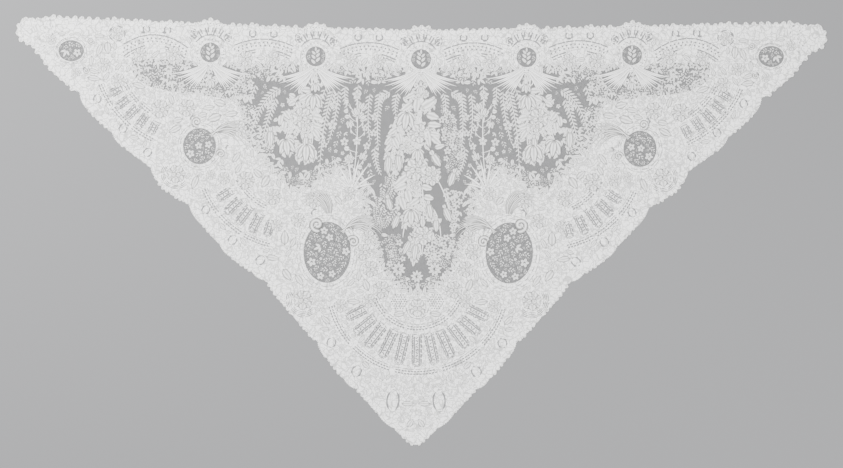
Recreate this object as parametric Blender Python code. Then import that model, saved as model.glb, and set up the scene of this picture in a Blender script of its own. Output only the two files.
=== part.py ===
"""Triangular lace shawl laid flat, worked in sections that are joined edge to edge.

X runs along the long straight edge, Y points towards that edge and Z is up.
The origin is the middle of the shawl's box, on the surface that it lies on.
The chart below is drawn in centimetres for one half and mirrored.
"""
import math

import bmesh
import bpy
from mathutils import Vector
from mathutils.geometry import delaunay_2d_cdt

CM = 0.01

# Driving sizes, in centimetres
TOP_V = 63.8
TOP_RISE = 3.2
TOP_REACH = 112.0
BAY = 33.8
BORDER_DEPTH = 11.5
CROWN_HALF = 4.3
SEAM = 0.03
WALL = 0.12
RELIEF = 0.09
APPLIED_BASE = 0.15
APPLIED_WALL = 0.11
LOBE_U = 125.6
LOBE_V = 63.1
LOBE_R = 4.0
LOBE_START_U = 119.9
LOBE_STOP = -52.0
LOBE_SCALLOPS = 9
LAST_BAY_U = 84.8
MEDALLION_HALF = 5.2
PALMETTE_DROP = 14.6
FAN_SEAM_V = -49.8
SLIT = 0.42

# How the shawl was laid down: a slight lean of its middle line and one end a little lower
LEAN = 0.0149
LEAN_TOP = -0.32
LEAN_FROM_V = 64.3
END_DROP = 1.1
CHART_REACH = 126.0

# Colours of the thread, as worn off-white
CLOTH_WHITE = (0.80, 0.79, 0.76, 1.0)
NET_WHITE = (0.55, 0.55, 0.53, 1.0)
RAISED_WHITE = (0.88, 0.87, 0.84, 1.0)

# Scalloped side edge from the rounded end down to the point.
# Columns: u and v where the run ends, scallops in the run, swell of each, seam that starts there
SIDE_RUNS = (
    (124.2, 58.4, 1, 0.25, ""),
    (121.5, 54.9, 1, 0.35, ""),
    (119.4, 52.0, 1, 0.35, ""),
    (117.1, 49.7, 1, 0.40, ""),
    (113.1, 46.4, 2, 0.35, ""),
    (109.3, 43.8, 1, 0.55, "end"),
    (105.6, 37.3, 1, 0.90, ""),
    (98.8, 31.2, 5, 0.35, ""),
    (94.0, 26.0, 1, 0.90, ""),
    (86.0, 20.0, 5, 0.35, ""),
    (84.2, 16.4, 1, 0.50, "outer"),
    (79.2, 11.6, 1, 0.80, ""),
    (73.8, 8.4, 5, 0.35, "upper"),
    (68.2, 0.7, 1, 0.90, ""),
    (63.9, -3.9, 4, 0.35, ""),
    (59.2, -9.0, 1, 0.80, ""),
    (53.4, -12.9, 5, 0.35, ""),
    (48.3, -16.0, 1, 0.80, "mid"),
    (46.3, -19.4, 1, 0.20, ""),
    (35.3, -32.0, 8, 0.40, "lower"),
    (31.9, -35.2, 1, 0.60, ""),
    (27.8, -41.5, 1, 0.90, ""),
    (23.4, -47.0, 4, 0.40, "fan"),
    (18.7, -50.7, 1, 0.80, ""),
    (12.6, -57.6, 5, 0.40, ""),
    (6.3, -63.4, 1, 0.90, ""),
    (3.0, -66.6, 2, 0.35, ""),
    (0.0, -68.4, 1, 0.50, ""),
)

# One bay of the top edge between two crowns.
# Columns: share of the bay's length, scallops in the run, swell of each
BAY_RUNS = (
    (0.17, 1, 0.35),
    (0.10, 3, 0.35),
    (0.17, 1, 0.60),
    (0.12, 3, 0.35),
    (0.17, 1, 0.60),
    (0.10, 3, 0.35),
    (0.17, 1, 0.35),
)

# The last stretch of the top edge, out to the rounded end.
# Columns: u where the run ends, scallops in the run, swell of each
END_RUNS = (
    (76.5, 1, 0.35),
    (79.1, 3, 0.35),
    (83.5, 1, 0.60),
    (86.5, 3, 0.35),
    (91.2, 1, 0.60),
    (94.6, 3, 0.35),
    (100.2, 1, 0.70),
    (102.4, 2, 0.45),
    (108.2, 2, 0.30),
    (112.5, 2, 0.40),
    (116.8, 2, 0.40),
    (LOBE_START_U, 1, 0.45),
)

# Edge of the net field, from the middle of its lower point out to its far arm.
# Columns: u, v, seam that meets it there
FIELD_EDGE = (
    (0.0, -20.4, ""),
    (4.7, -19.1, ""),
    (9.2, -15.5, ""),
    (12.5, -10.1, "lower"),
    (14.5, -4.0, ""),
    (16.5, 1.8, ""),
    (17.9, 8.2, ""),
    (19.3, 13.0, ""),
    (22.9, 16.8, ""),
    (27.1, 18.8, ""),
    (30.9, 16.8, ""),
    (34.7, 13.6, ""),
    (40.1, 12.3, "mid"),
    (42.7, 14.3, ""),
    (48.2, 20.0, ""),
    (52.5, 25.2, ""),
    (55.4, 29.0, "upper"),
    (56.8, 35.4, ""),
    (58.8, 40.6, ""),
    (64.6, 42.5, ""),
    (72.6, 43.4, ""),
    (80.7, 44.4, "outer"),
    (87.1, 45.7, ""),
    (91.3, 48.3, ""),
    (92.6, 51.2, ""),
)

# Seams between the side sections, from the net field to the scalloped edge: (u, v) between the ends
SEAMS = {
    "end": ((106.8, 49.0),),
    "outer": ((80.4, 36.0), (82.0, 27.5)),
    "upper": ((62.6, 20.6), (69.6, 16.0)),
    "mid": ((40.6, 5.0), (41.6, -5.0), (44.6, -11.5)),
    "lower": ((17.6, -15.9), (22.0, -19.4), (27.0, -22.6), (31.0, -26.4)),
    "fan": ((14.5, -47.8), (6.0, -49.2)),
}
SEAM_TOP_CORNER_U = 102.9
SEAM_TOP_KNOT_U = 102.4

# Rings with a window of net: columns u, v, half width and half height of the net, width of the ring
CARTOUCHES = {
    "end": (112.2, 56.9, 4.1, 3.4, 0.9),
    "upper": (70.6, 26.8, 5.3, 5.8, 1.7),
    "lower": (29.2, -6.9, 7.6, 9.8, 2.2),
}
RING_SIDES = 16
MEDALLION_DROP = 8.7
MEDALLION_NET_R = 3.2
MEDALLION_RING_R = 5.0


def top_line(u):
    """Height of the top edge's base line at u: the edge sags towards the middle."""
    return TOP_V + TOP_RISE * (abs(u) / TOP_REACH) ** 1.2


def lay(u, v):
    """A charted point where it lies on the table."""
    x = u + LEAN_TOP - LEAN * (LEAN_FROM_V - v)
    y = v - END_DROP * (u / CHART_REACH) * (abs(u) / CHART_REACH) ** 0.6
    return x, y


def swell(start, end, rise, points):
    """One scallop from start towards end, without its last point."""
    du = end[0] - start[0]
    dv = end[1] - start[1]
    length = math.hypot(du, dv)
    out = []
    for i in range(points + 1):
        t = i / (points + 1)
        lift = rise * math.sin(math.pi * t) ** 0.8 if i else 0.0
        out.append((start[0] + du * t - dv / length * lift, start[1] + dv * t + du / length * lift))
    return out


def run(start, end, scallops, rise, path=None):
    """A run of equal scallops from start towards end, without its last point."""
    span = math.hypot(end[0] - start[0], end[1] - start[1]) / scallops
    points = 2 if span < 2.2 else 3
    if span < 1.2:
        points = 1
    out = []
    for i in range(scallops):
        a = blend(start, end, i / scallops)
        b = blend(start, end, (i + 1) / scallops)
        if path:
            a = path(a)
            b = path(b)
        out += swell(a, b, rise, points)
    return out


def blend(a, b, t):
    return (a[0] + (b[0] - a[0]) * t, a[1] + (b[1] - a[1]) * t)


def on_top_line(point):
    return (point[0], top_line(point[0]))


def bay_edge(start_u, end_u):
    """Top edge of a bay from the notch at start_u to the notch at end_u."""
    out = []
    u = start_u
    for share, scallops, rise in BAY_RUNS:
        end = u + share * (end_u - start_u)
        out += run((u, 0), (end, 0), scallops, rise, on_top_line)
        u = end
    return out


def crown_edge(middle):
    """The crown scallop over a medallion, five small waves on one swell."""
    out = []
    waves = 5
    for i in range(waves):
        for part in (0.0, 0.5):
            t = (i + part) / waves
            u = middle - CROWN_HALF + 2 * CROWN_HALF * t
            rise = 1.5 * math.sin(math.pi * t) ** 0.7 if t else 0.0
            out.append((u, top_line(u) + rise + (0.16 if part else 0.0)))
    return out


def end_top_edge():
    """Top edge from the last crown to the rounded end, left to right."""
    pieces = {"out": [], "end": []}
    u = 2 * BAY + CROWN_HALF
    for end, scallops, rise in END_RUNS:
        side = "out" if u < SEAM_TOP_CORNER_U - 1 else "end"
        pieces[side] += run((u, 0), (end, 0), scallops, rise, on_top_line)
        u = end
    return pieces


def lobe_edge():
    """The rounded end, ringed with small scallops, from the top edge round to the side edge."""
    start = math.atan2(top_line(LOBE_START_U) - LOBE_V, LOBE_START_U - LOBE_U)
    stop = math.radians(LOBE_STOP)
    out = []
    for i in range(LOBE_SCALLOPS):
        ring = []
        for k in (i, i + 1):
            a = start + (stop - start) * k / LOBE_SCALLOPS
            reach = LOBE_R - 0.3
            ring.append((LOBE_U + reach * math.cos(a), LOBE_V + reach * math.sin(a)))
        if i == 0:
            ring[0] = (LOBE_START_U, top_line(LOBE_START_U))
        out += swell(ring[0], ring[1], 0.35, 2)
    return out, ring[1]


def side_edges(start):
    """The side edge, one list of points for each section, by the seam that ends it."""
    out = {}
    points = []
    here = start
    for u, v, scallops, rise, seam in SIDE_RUNS:
        points += run(here, (u, v), scallops, rise)
        here = (u, v)
        if seam:
            out[seam] = points
            points = []
    out["point"] = points
    return out


def between(first_seam, last_seam):
    """Points of the net field's edge from one seam to the next, both ends included."""
    start = field_index(first_seam)
    stop = field_index(last_seam)
    return [(u, v) for u, v, _ in FIELD_EDGE[start:stop + 1]]


def field_index(seam):
    if seam == "centre":
        return 0
    if seam == "arm":
        return len(FIELD_EDGE) - 1
    return [row[2] for row in FIELD_EDGE].index(seam)


def side_knot(seam):
    return next((row[0], row[1]) for row in SIDE_RUNS if row[4] == seam)


def inset(loop, distance):
    """A closed loop moved in by a distance, so that its neighbour across the seam stays clear."""
    area = sum(a[0] * b[1] - b[0] * a[1] for a, b in zip(loop, loop[1:] + loop[:1]))
    sign = 1.0 if area > 0 else -1.0
    out = []
    count = len(loop)
    for i in range(count):
        before = Vector(loop[i]) - Vector(loop[i - 1])
        after = Vector(loop[(i + 1) % count]) - Vector(loop[i])
        normal = Vector((-before.y, before.x)).normalized() + Vector((-after.y, after.x)).normalized()
        normal.normalize()
        side = Vector((-before.y, before.x)).normalized()
        reach = distance / max(normal.dot(side), 0.5)
        out.append((loop[i][0] + sign * normal.x * reach, loop[i][1] + sign * normal.y * reach))
    return out


def ring_points(u, v, half_u, half_v, count, turn=0.0, start=0.0):
    """Points of an ellipse turned by an angle."""
    out = []
    for i in range(count):
        a = start + 2 * math.pi * i / count
        p = half_u * math.cos(a)
        q = half_v * math.sin(a)
        out.append((u + p * math.cos(turn) - q * math.sin(turn), v + p * math.sin(turn) + q * math.cos(turn)))
    return out


def crescent(u, v, half_u, half_v, width, turn, side, span=1.05):
    """A slit that curves round one side of an oval, pointed at both ends."""
    loop = []
    for share in (-1.0, -0.4, 0.4, 1.0):
        a = span * share
        grow = 0.0 if abs(share) == 1.0 else width
        loop.append((side * (half_u + grow) * math.cos(a), (half_v + grow) * math.sin(a)))
    loop.append((side * half_u, 0.0))
    return [(u + p * math.cos(turn) - q * math.sin(turn), v + p * math.sin(turn) + q * math.cos(turn))
            for p, q in loop]


def slit(a, b, width):
    """A straight slit between two points."""
    d = Vector((b[0] - a[0], b[1] - a[1])).normalized() * width / 2
    return [(a[0] - d.y, a[1] + d.x), (b[0] - d.y, b[1] + d.x),
            (b[0] + d.y, b[1] - d.x), (a[0] + d.y, a[1] - d.x)]


def dome(u, v, half_u, half_v, turn, rise, count=6):
    """A raised oval: its rim at the wall's face and its crown in the middle."""
    rim = [(p[0], p[1], 0.0) for p in ring_points(u, v, half_u, half_v, count, turn)]
    return [rim, [(u, v, rise)]]


def band(line, width, rise):
    """A raised band along a line of points: its two feet and the ridge between them."""
    feet = [[], []]
    ridge = []
    for i, here in enumerate(line):
        before = line[max(i - 1, 0)]
        after = line[min(i + 1, len(line) - 1)]
        d = Vector((after[0] - before[0], after[1] - before[1])).normalized() * width / 2
        feet[0].append((here[0] - d.y, here[1] + d.x, 0.0))
        feet[1].append((here[0] + d.y, here[1] - d.x, 0.0))
        ridge.append((here[0], here[1], rise))
    return [feet[0] + feet[1][::-1], ridge]


def arc(u, v, radius_u, radius_v, start, stop, count):
    """Points on an arc, angles in degrees."""
    out = []
    for i in range(count):
        a = math.radians(start + (stop - start) * i / (count - 1))
        out.append((u + radius_u * math.cos(a), v + radius_v * math.sin(a)))
    return out


def mirrored(loop):
    return [(-p[0],) + tuple(p[1:]) for p in loop][::-1]


def triangles_in(loops, holes, extra):
    """Triangles of the region inside the loops and outside the holes, with the extra lines kept."""
    verts = []
    heights = []
    edges = []
    for loop in loops + holes:
        first = len(verts)
        verts += [Vector((p[0], p[1])) for p in loop]
        heights += [0.0] * len(loop)
        edges += [(first + i, first + (i + 1) % len(loop)) for i in range(len(loop))]
    for line in extra:
        first = len(verts)
        foot = len(line) > 3 and line[0][2] == line[-1][2] == 0.0
        verts += [Vector((p[0], p[1])) for p in line]
        heights += [p[2] for p in line]
        edges += [(first + i, first + i + 1) for i in range(len(line) - 1)]
        if foot or (len(line) > 5 and near(line[0], line[-1], line[1])):
            edges.append((first + len(line) - 1, first))
    flat, _, faces, source, _, _ = delaunay_2d_cdt(verts, edges, [], 0, 1e-5)
    lifted = [max((heights[k] for k in origin), default=0.0) for origin in source]
    kept = []
    for face in faces:
        centre = sum((flat[i] for i in face), Vector((0.0, 0.0))) / 3
        if not any(inside(centre, loop) for loop in loops):
            continue
        if any(inside(centre, hole) for hole in holes):
            continue
        kept.append(tuple(face))
    return flat, lifted, kept


def near(a, b, c):
    """Whether a line of points closes on itself: its ends are no further apart than its steps."""
    step = math.hypot(a[0] - c[0], a[1] - c[1])
    return math.hypot(a[0] - b[0], a[1] - b[1]) < 1.6 * step


def inside(point, loop):
    x, y = point[0], point[1]
    hit = False
    count = len(loop)
    for i in range(count):
        x0, y0 = loop[i][0], loop[i][1]
        x1, y1 = loop[i - 1][0], loop[i - 1][1]
        if (y0 > y) != (y1 > y) and x < (x1 - x0) * (y - y0) / (y1 - y0) + x0:
            hit = not hit
    return hit


def thread_material(name, colour):
    material = bpy.data.materials.new(name)
    material.use_nodes = True
    shader = material.node_tree.nodes["Principled BSDF"]
    shader.inputs["Base Color"].default_value = colour
    shader.inputs["Roughness"].default_value = 0.85
    shader.inputs["Metallic"].default_value = 0.0
    return material


def wall(name, outline, holes, raised, colour, base=0.0, thick=WALL):
    """A closed wall of cloth: flat below, with raised lines on its upper face."""
    laid = [[lay(*p) for p in loop] for loop in [outline] + holes]
    lines = [[lay(p[0], p[1]) + (p[2],) for p in line] for line in raised]
    mesh = bmesh.new()
    top_points, lifts, top_faces = triangles_in(laid[:1], laid[1:], lines)
    low_points, _, low_faces = triangles_in(laid[:1], laid[1:], [])
    rims = {}
    layers = ((low_points, None, low_faces, base), (top_points, lifts, top_faces, base + thick))
    for points, lift, faces, height in layers:
        made = {}
        used = sorted({i for face in faces for i in face})
        for i in used:
            z = height + (lift[i] if lift else 0.0)
            made[i] = mesh.verts.new(placed(points[i][0], points[i][1], z))
        for face in faces:
            order = face if lift else face[::-1]
            mesh.faces.new([made[i] for i in order])
        sides = {}
        for face in faces:
            for k in range(3):
                sides[(face[k], face[(k + 1) % 3])] = True
        for a, b in sides:
            if (b, a) not in sides:
                rims.setdefault(key(points[a], points[b]), []).append((made[a], made[b]))
    for low, high in rims.values():
        mesh.faces.new([low[0], low[1], high[1]])
        mesh.faces.new([low[0], high[1], high[0]])
    bmesh.ops.recalc_face_normals(mesh, faces=mesh.faces)
    data = bpy.data.meshes.new(name)
    mesh.to_mesh(data)
    mesh.free()
    piece = bpy.data.objects.new(name, data)
    bpy.context.collection.objects.link(piece)
    data.materials.append(thread_material(name + "_thread", colour))
    return piece


def key(a, b):
    return (round(a[0], 4), round(a[1], 4), round(b[0], 4), round(b[1], 4))


MIDDLE = [0.0, 0.0]


def placed(x, y, z):
    """Centimetres on the table to metres in the part's frame."""
    return ((x - MIDDLE[0]) * CM, (y - MIDDLE[1]) * CM, z * CM)


# Ovals with a slit on each side. Columns: section, u, v, half width, half height, turn in degrees
OVALS = (
    ("outer", 103.6, 41.6, 1.0, 1.5, 20),
    ("outer", 95.2, 32.2, 1.0, 1.5, 30),
    ("outer", 87.2, 24.6, 1.0, 1.5, 40),
    ("mid", 68.3, 6.4, 1.0, 1.5, 30),
    ("mid", 59.6, -3.2, 1.1, 1.6, 35),
    ("mid", 50.6, -9.6, 1.1, 1.6, 45),
    ("fan", 27.4, -35.8, 1.2, 1.6, 20),
    ("fan", 19.2, -45.0, 1.3, 1.9, 25),
    ("point", 7.4, -54.4, 1.7, 3.6, 4),
)

# Rosettes: section, u, v, radius
ROSETTES = (
    ("bay", 97.6, 62.6, 2.1),
    ("upper", 78.0, 17.8, 3.0),
    ("lower", 36.6, -22.2, 3.2),
    ("fan", 0.0, -24.6, 2.9),
)

# Volutes beside the rings: section, u, v, radius
VOLUTES = (
    ("end", 105.9, 59.9, 1.3),
    ("end", 107.4, 50.9, 1.2),
    ("upper", 72.4, 35.4, 2.0),
    ("upper", 61.2, 26.2, 1.5),
    ("lower", 32.8, 5.4, 2.8),
    ("lower", 20.0, 0.4, 1.8),
)

# Fans: section, centre u, v, window radius, first and last window in degrees, windows,
# window length and width, inner and outer band radius
FANS = (
    ("outer", 72.0, 59.0, 29.6, -30.0, -63.0, 5, 4.4, 1.7, 26.0, 33.3),
    ("mid", 40.9, 25.3, 25.5, -33.0, -74.0, 5, 5.6, 2.0, 19.6, 30.8),
    ("fan", 0.0, -16.6, 21.5, -153.5, -26.5, 11, 8.6, 2.4, 14.6, 28.9),
)


def shape_lists():
    return {"holes": [], "raised": []}


def add_oval(parts, u, v, half_u, half_v, turn):
    angle = math.radians(turn)
    for side in (-1, 1):
        parts["holes"].append(crescent(u, v, half_u, half_v, 0.46, angle, side))
    parts["raised"] += dome(u, v, half_u * 0.86, half_v * 0.86, angle, RELIEF)


def add_rosette(parts, u, v, radius):
    rim = ring_points(u, v, radius, radius, 12)
    crest = ring_points(u, v, radius * 0.78, radius * 0.78, 12)
    bowl = ring_points(u, v, radius * 0.42, radius * 0.42, 6)
    for ring, rise in ((rim, 0.0), (crest, RELIEF), (bowl, 0.02)):
        parts["raised"].append([p + (rise,) for p in ring])
    parts["raised"].append([(u, v, RELIEF)])


def add_volute(parts, u, v, radius):
    parts["holes"].append(crescent(u, v, radius * 0.55, radius * 0.55, 0.45, math.radians(35), 1, 1.2))
    parts["raised"] += dome(u, v, radius * 0.4, radius * 0.4, 0.0, RELIEF, 6)


def add_ring(parts, u, v, half_u, half_v, width, count):
    """A raised ring round a window, and the window cut for its net."""
    parts["holes"].append(ring_points(u, v, half_u, half_v, count))
    for reach, rise in ((0.4, RELIEF), (1.0, 0.0)):
        ring = ring_points(u, v, half_u + width * reach, half_v + width * reach, count)
        parts["raised"].append([p + (rise,) for p in ring])


def add_fan(parts, row):
    """Windows of drawn threads set round an arc, between two raised bands."""
    _, u, v, radius, first, last, windows, length, width, inner, outer = row
    for i in range(windows):
        t = i / (windows - 1)
        a = math.radians(first + (last - first) * t)
        reach = length * (0.68 + 0.32 * math.sin(math.pi * t))
        out = (math.cos(a), math.sin(a))
        across = (-out[1], out[0])
        for side in (-1, 1):
            shift = side * width * 0.34
            ends = []
            for r in (radius - reach / 2, radius + reach / 2):
                ends.append((u + out[0] * r + across[0] * shift, v + out[1] * r + across[1] * shift))
            parts["holes"].append(slit(ends[0], ends[1], SLIT))
    step = (last - first) / (windows - 1)
    for i in range(windows + 1):
        a = math.radians(first + step * (i - 0.5))
        line = []
        for d in (-0.36, 0.36):
            line.append((u + math.cos(a) * (radius + d * length), v + math.sin(a) * (radius + d * length)))
        parts["raised"] += band(line, 0.5, RELIEF)
    small = windows < 6
    steps = 6 if small else 12
    for r, before, after in ((inner, 0.5, -0.9 if small else 0.5), (outer, 0.9, 0.35 if small else 0.9)):
        line = arc(u, v, r, r, first - step * before, last + step * after, steps)
        parts["raised"] += band(line, 0.9, RELIEF * 0.7)


def medallion_side(middle, sign):
    """The seam between a medallion and the bay beside it, from the top edge down."""
    points = []
    for du, dv in ((CROWN_HALF, 0.0), (5.5, -4.0), (5.7, -9.0), (MEDALLION_HALF, -BORDER_DEPTH)):
        u = middle + sign * du
        points.append((u, top_line(u) + dv))
    return points


def medallion_foot(middle):
    """The pointed foot of a medallion, from right to left."""
    v = top_line(middle)
    return [(middle + 3.5, v - 13.2), (middle, v - 14.2), (middle - 3.5, v - 13.2)]


def bottom_line(start_u, end_u, steps=4):
    points = []
    for i in range(steps + 1):
        u = start_u + (end_u - start_u) * i / steps
        points.append((u, top_line(u) - BORDER_DEPTH))
    return points


def build_wall(name, outline, parts, colour, **sizes):
    wall(name, inset(outline, SEAM / 2), parts["holes"], parts["raised"], colour, **sizes)


def net_disc(name, u, v, half_u, half_v, sprig):
    """The net inside a ring, with a sprig of leaves raised on it."""
    outline = ring_points(u, v, half_u - SEAM, half_v - SEAM, RING_SIDES)
    raised = []
    for du, dv, length, turn in sprig:
        tip = math.radians(turn)
        along = (math.cos(tip), math.sin(tip))
        across = (-along[1] * length * 0.22, along[0] * length * 0.22)
        root = (u + du, v + dv)
        middle = (root[0] + along[0] * length / 2, root[1] + along[1] * length / 2)
        raised.append([root + (0.0,), (middle[0] + across[0], middle[1] + across[1], 0.0),
                       (root[0] + along[0] * length, root[1] + along[1] * length, 0.0),
                       (middle[0] - across[0], middle[1] - across[1], 0.0)])
        raised.append([middle + (RELIEF,)])
    wall(name, outline, [], raised, NET_WHITE)


# Leaves of the sprig in a medallion: offset u, v, length, turn in degrees
MEDALLION_SPRIG = (
    (0.0, -0.2, 2.3, 90),
    (0.3, -0.9, 2.1, 48),
    (-0.3, -0.9, 2.1, 132),
    (0.5, -1.9, 1.8, 20),
    (-0.5, -1.9, 1.8, 160),
)

# Leaves of the sprig in a large ring, as shares of its size: offset u, v, length, turn in degrees
RING_SPRIG = (
    (0.0, 0.10, 0.50, 95),
    (0.12, 0.0, 0.50, 30),
    (-0.12, 0.0, 0.50, 150),
    (0.0, -0.12, 0.46, 270),
    (0.16, -0.30, 0.42, -30),
    (-0.16, -0.30, 0.42, 210),
    (0.10, 0.45, 0.36, 50),
    (-0.10, 0.45, 0.36, 130),
)


def ring_sprig(half_u, half_v):
    return [(du * half_u, dv * half_v, length * half_u, turn) for du, dv, length, turn in RING_SPRIG]


def make_top_border():
    """Five medallions and the six bays of the top edge."""
    for index in range(5):
        middle = (index - 2) * BAY
        right = medallion_side(middle, 1)
        left = medallion_side(middle, -1)
        outline = crown_edge(middle) + right + medallion_foot(middle) + left[:0:-1]
        parts = shape_lists()
        centre_v = top_line(middle) - MEDALLION_DROP
        add_ring(parts, middle, centre_v, MEDALLION_NET_R, MEDALLION_NET_R, 1.5, RING_SIDES)
        parts["holes"].append(ring_points(middle, centre_v - 3.62 - 1.55, 0.4, 0.4, 4))
        for turn in (60, 80, 100, 120):
            a = math.radians(turn)
            ends = [(middle + r * math.cos(a), centre_v + r * math.sin(a)) for r in (5.7, 7.3)]
            parts["holes"].append(slit(ends[0], ends[1], SLIT))
        build_wall("medallion_%d" % (index + 1), outline, parts, CLOTH_WHITE)
        net_disc("medallion_net_%d" % (index + 1), middle, centre_v, MEDALLION_NET_R, MEDALLION_NET_R,
                 MEDALLION_SPRIG)
    for index in range(4):
        start = (index - 2) * BAY
        end = start + BAY
        bottom = bottom_line(end - MEDALLION_HALF, start + MEDALLION_HALF)
        outline = bay_edge(start + CROWN_HALF, end - CROWN_HALF) + medallion_side(end, -1)[:-1]
        outline += bottom + medallion_side(start, 1)[-2:0:-1]
        parts = shape_lists()
        fill_bay(parts, (start + end) / 2)
        build_wall("border_top_%d" % (index + 2), outline, parts, CLOTH_WHITE)


def fill_bay(parts, centre):
    """Two ovals, a double arc and four roses in one bay."""
    for side in (-1, 1):
        u = centre + side * 3.4
        add_oval(parts, u, top_line(u) - 2.1, 0.85, 1.2, 0)
    for drop, half in ((4.6, 9.6), (7.4, 8.8)):
        line = []
        for i in range(7):
            t = i / 3 - 1
            u = centre + half * t
            line.append((u, top_line(centre) - drop - 2.3 * t * t))
        parts["raised"] += band(line, 0.8, RELIEF * 0.7)
    for du in (-8.6, -3.2, 3.2, 8.6):
        u = centre + du
        v = top_line(centre) - 9.6 - (0.7 if abs(du) > 5 else 0.0)
        parts["raised"] += dome(u, v, 1.2, 1.0, 0.0, RELIEF, 6)


def make_side(sign, hand):
    """The end, the side sections and their nets on one hand of the shawl."""
    turned = (lambda loop: loop) if sign > 0 else mirrored
    ends = end_top_edge()
    lobe, lobe_end = lobe_edge()
    edges = side_edges(lobe_end)
    corner = (SEAM_TOP_CORNER_U, top_line(SEAM_TOP_CORNER_U) - BORDER_DEPTH)
    top_knot = (SEAM_TOP_KNOT_U, top_line(SEAM_TOP_KNOT_U))
    arm = (FIELD_EDGE[-1][0], top_line(FIELD_EDGE[-1][0]) - BORDER_DEPTH)
    middle = 2 * BAY

    outlines = {}
    outlines["bay"] = ends["out"] + [top_knot, corner, arm] + bottom_line(arm[0], middle + MEDALLION_HALF)[1:]
    outlines["bay"] += medallion_side(middle, 1)[-2:0:-1]
    outlines["end"] = ends["end"] + lobe + edges["end"] + [side_knot("end")] + list(SEAMS["end"]) + [corner]
    outlines["outer"] = edges["outer"] + [side_knot("outer")] + list(SEAMS["outer"])[::-1]
    outlines["outer"] += between("outer", "arm") + [arm, corner] + list(SEAMS["end"])
    for seam, following in (("upper", "outer"), ("mid", "upper"), ("lower", "mid")):
        outline = edges[seam] + [side_knot(seam)] + list(SEAMS[seam])[::-1]
        outlines[seam] = outline + between(seam, following) + list(SEAMS[following])

    names = {
        "bay": "border_top_6" if sign > 0 else "border_top_1",
        "end": "end_" + hand,
        "outer": "fan_outer_" + hand,
        "upper": "cartouche_upper_" + hand,
        "mid": "fan_mid_" + hand,
        "lower": "cartouche_lower_" + hand,
    }
    for section, outline in outlines.items():
        parts = shape_lists()
        fill_section(parts, section)
        if section == "bay":
            fill_bay(parts, LAST_BAY_U)
        parts = {kind: [turned(loop) for loop in loops] for kind, loops in parts.items()}
        build_wall(names[section], turned(outline), parts, CLOTH_WHITE)
    for section, (u, v, half_u, half_v, _) in CARTOUCHES.items():
        name = names[section] + "_net"
        net_disc(name, sign * u, v, half_u, half_v, ring_sprig(half_u, half_v))


def fill_section(parts, section):
    for row in OVALS:
        if row[0] == section:
            add_oval(parts, *row[1:])
    for row in ROSETTES:
        if row[0] == section:
            add_rosette(parts, *row[1:])
    for row in VOLUTES:
        if row[0] == section:
            add_volute(parts, *row[1:])
    for row in FANS:
        if row[0] == section:
            add_fan(parts, row)
    if section in CARTOUCHES:
        u, v, half_u, half_v, width = CARTOUCHES[section]
        add_ring(parts, u, v, half_u, half_v, width, RING_SIDES)


def make_bottom():
    """The big fan and the point, which cross the middle line."""
    edges = side_edges(lobe_edge()[1])
    half = edges["fan"] + [side_knot("fan")] + list(SEAMS["fan"])
    field = between("centre", "lower")
    right = field[1:] + list(SEAMS["lower"])
    outline = half + [(0.0, FAN_SEAM_V)] + mirrored(half) + mirrored(right) + [field[0]] + right
    parts = shape_lists()
    fill_section(parts, "fan")
    mirror_holes(parts, ("fan",))
    build_wall("fan_bottom", outline, parts, CLOTH_WHITE)

    tip = edges["point"] + [(0.0, SIDE_RUNS[-1][1])]
    seam = list(SEAMS["fan"])
    outline = tip + mirrored(edges["point"]) + mirrored(seam)[::-1] + [(0.0, FAN_SEAM_V)] + seam[::-1]
    parts = shape_lists()
    fill_section(parts, "point")
    mirror_holes(parts, ("point",))
    build_wall("point_bottom", outline, parts, CLOTH_WHITE)


def mirror_holes(parts, sections):
    """Ovals off the middle line are repeated on its other side."""
    for row in OVALS:
        if row[0] in sections:
            add_oval(parts, -row[1], row[2], row[3], row[4], -row[5])


def make_net_ground():
    """The field of net, one piece from end to end."""
    arm = (FIELD_EDGE[-1][0], top_line(FIELD_EDGE[-1][0]) - BORDER_DEPTH)
    field = between("centre", "arm")
    outline = field + [arm]
    u = arm[0]
    for index in range(4, -1, -1):
        middle = (index - 2) * BAY
        outline += bottom_line(u, middle + MEDALLION_HALF)[1:] + medallion_foot(middle)
        u = middle - MEDALLION_HALF
        outline.append((u, top_line(u) - BORDER_DEPTH))
    outline += bottom_line(u, -arm[0])[1:]
    outline += [(-p[0], p[1]) for p in field[:0:-1]]
    wall("net_ground", inset(outline, SEAM / 2), [], [], NET_WHITE)


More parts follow.
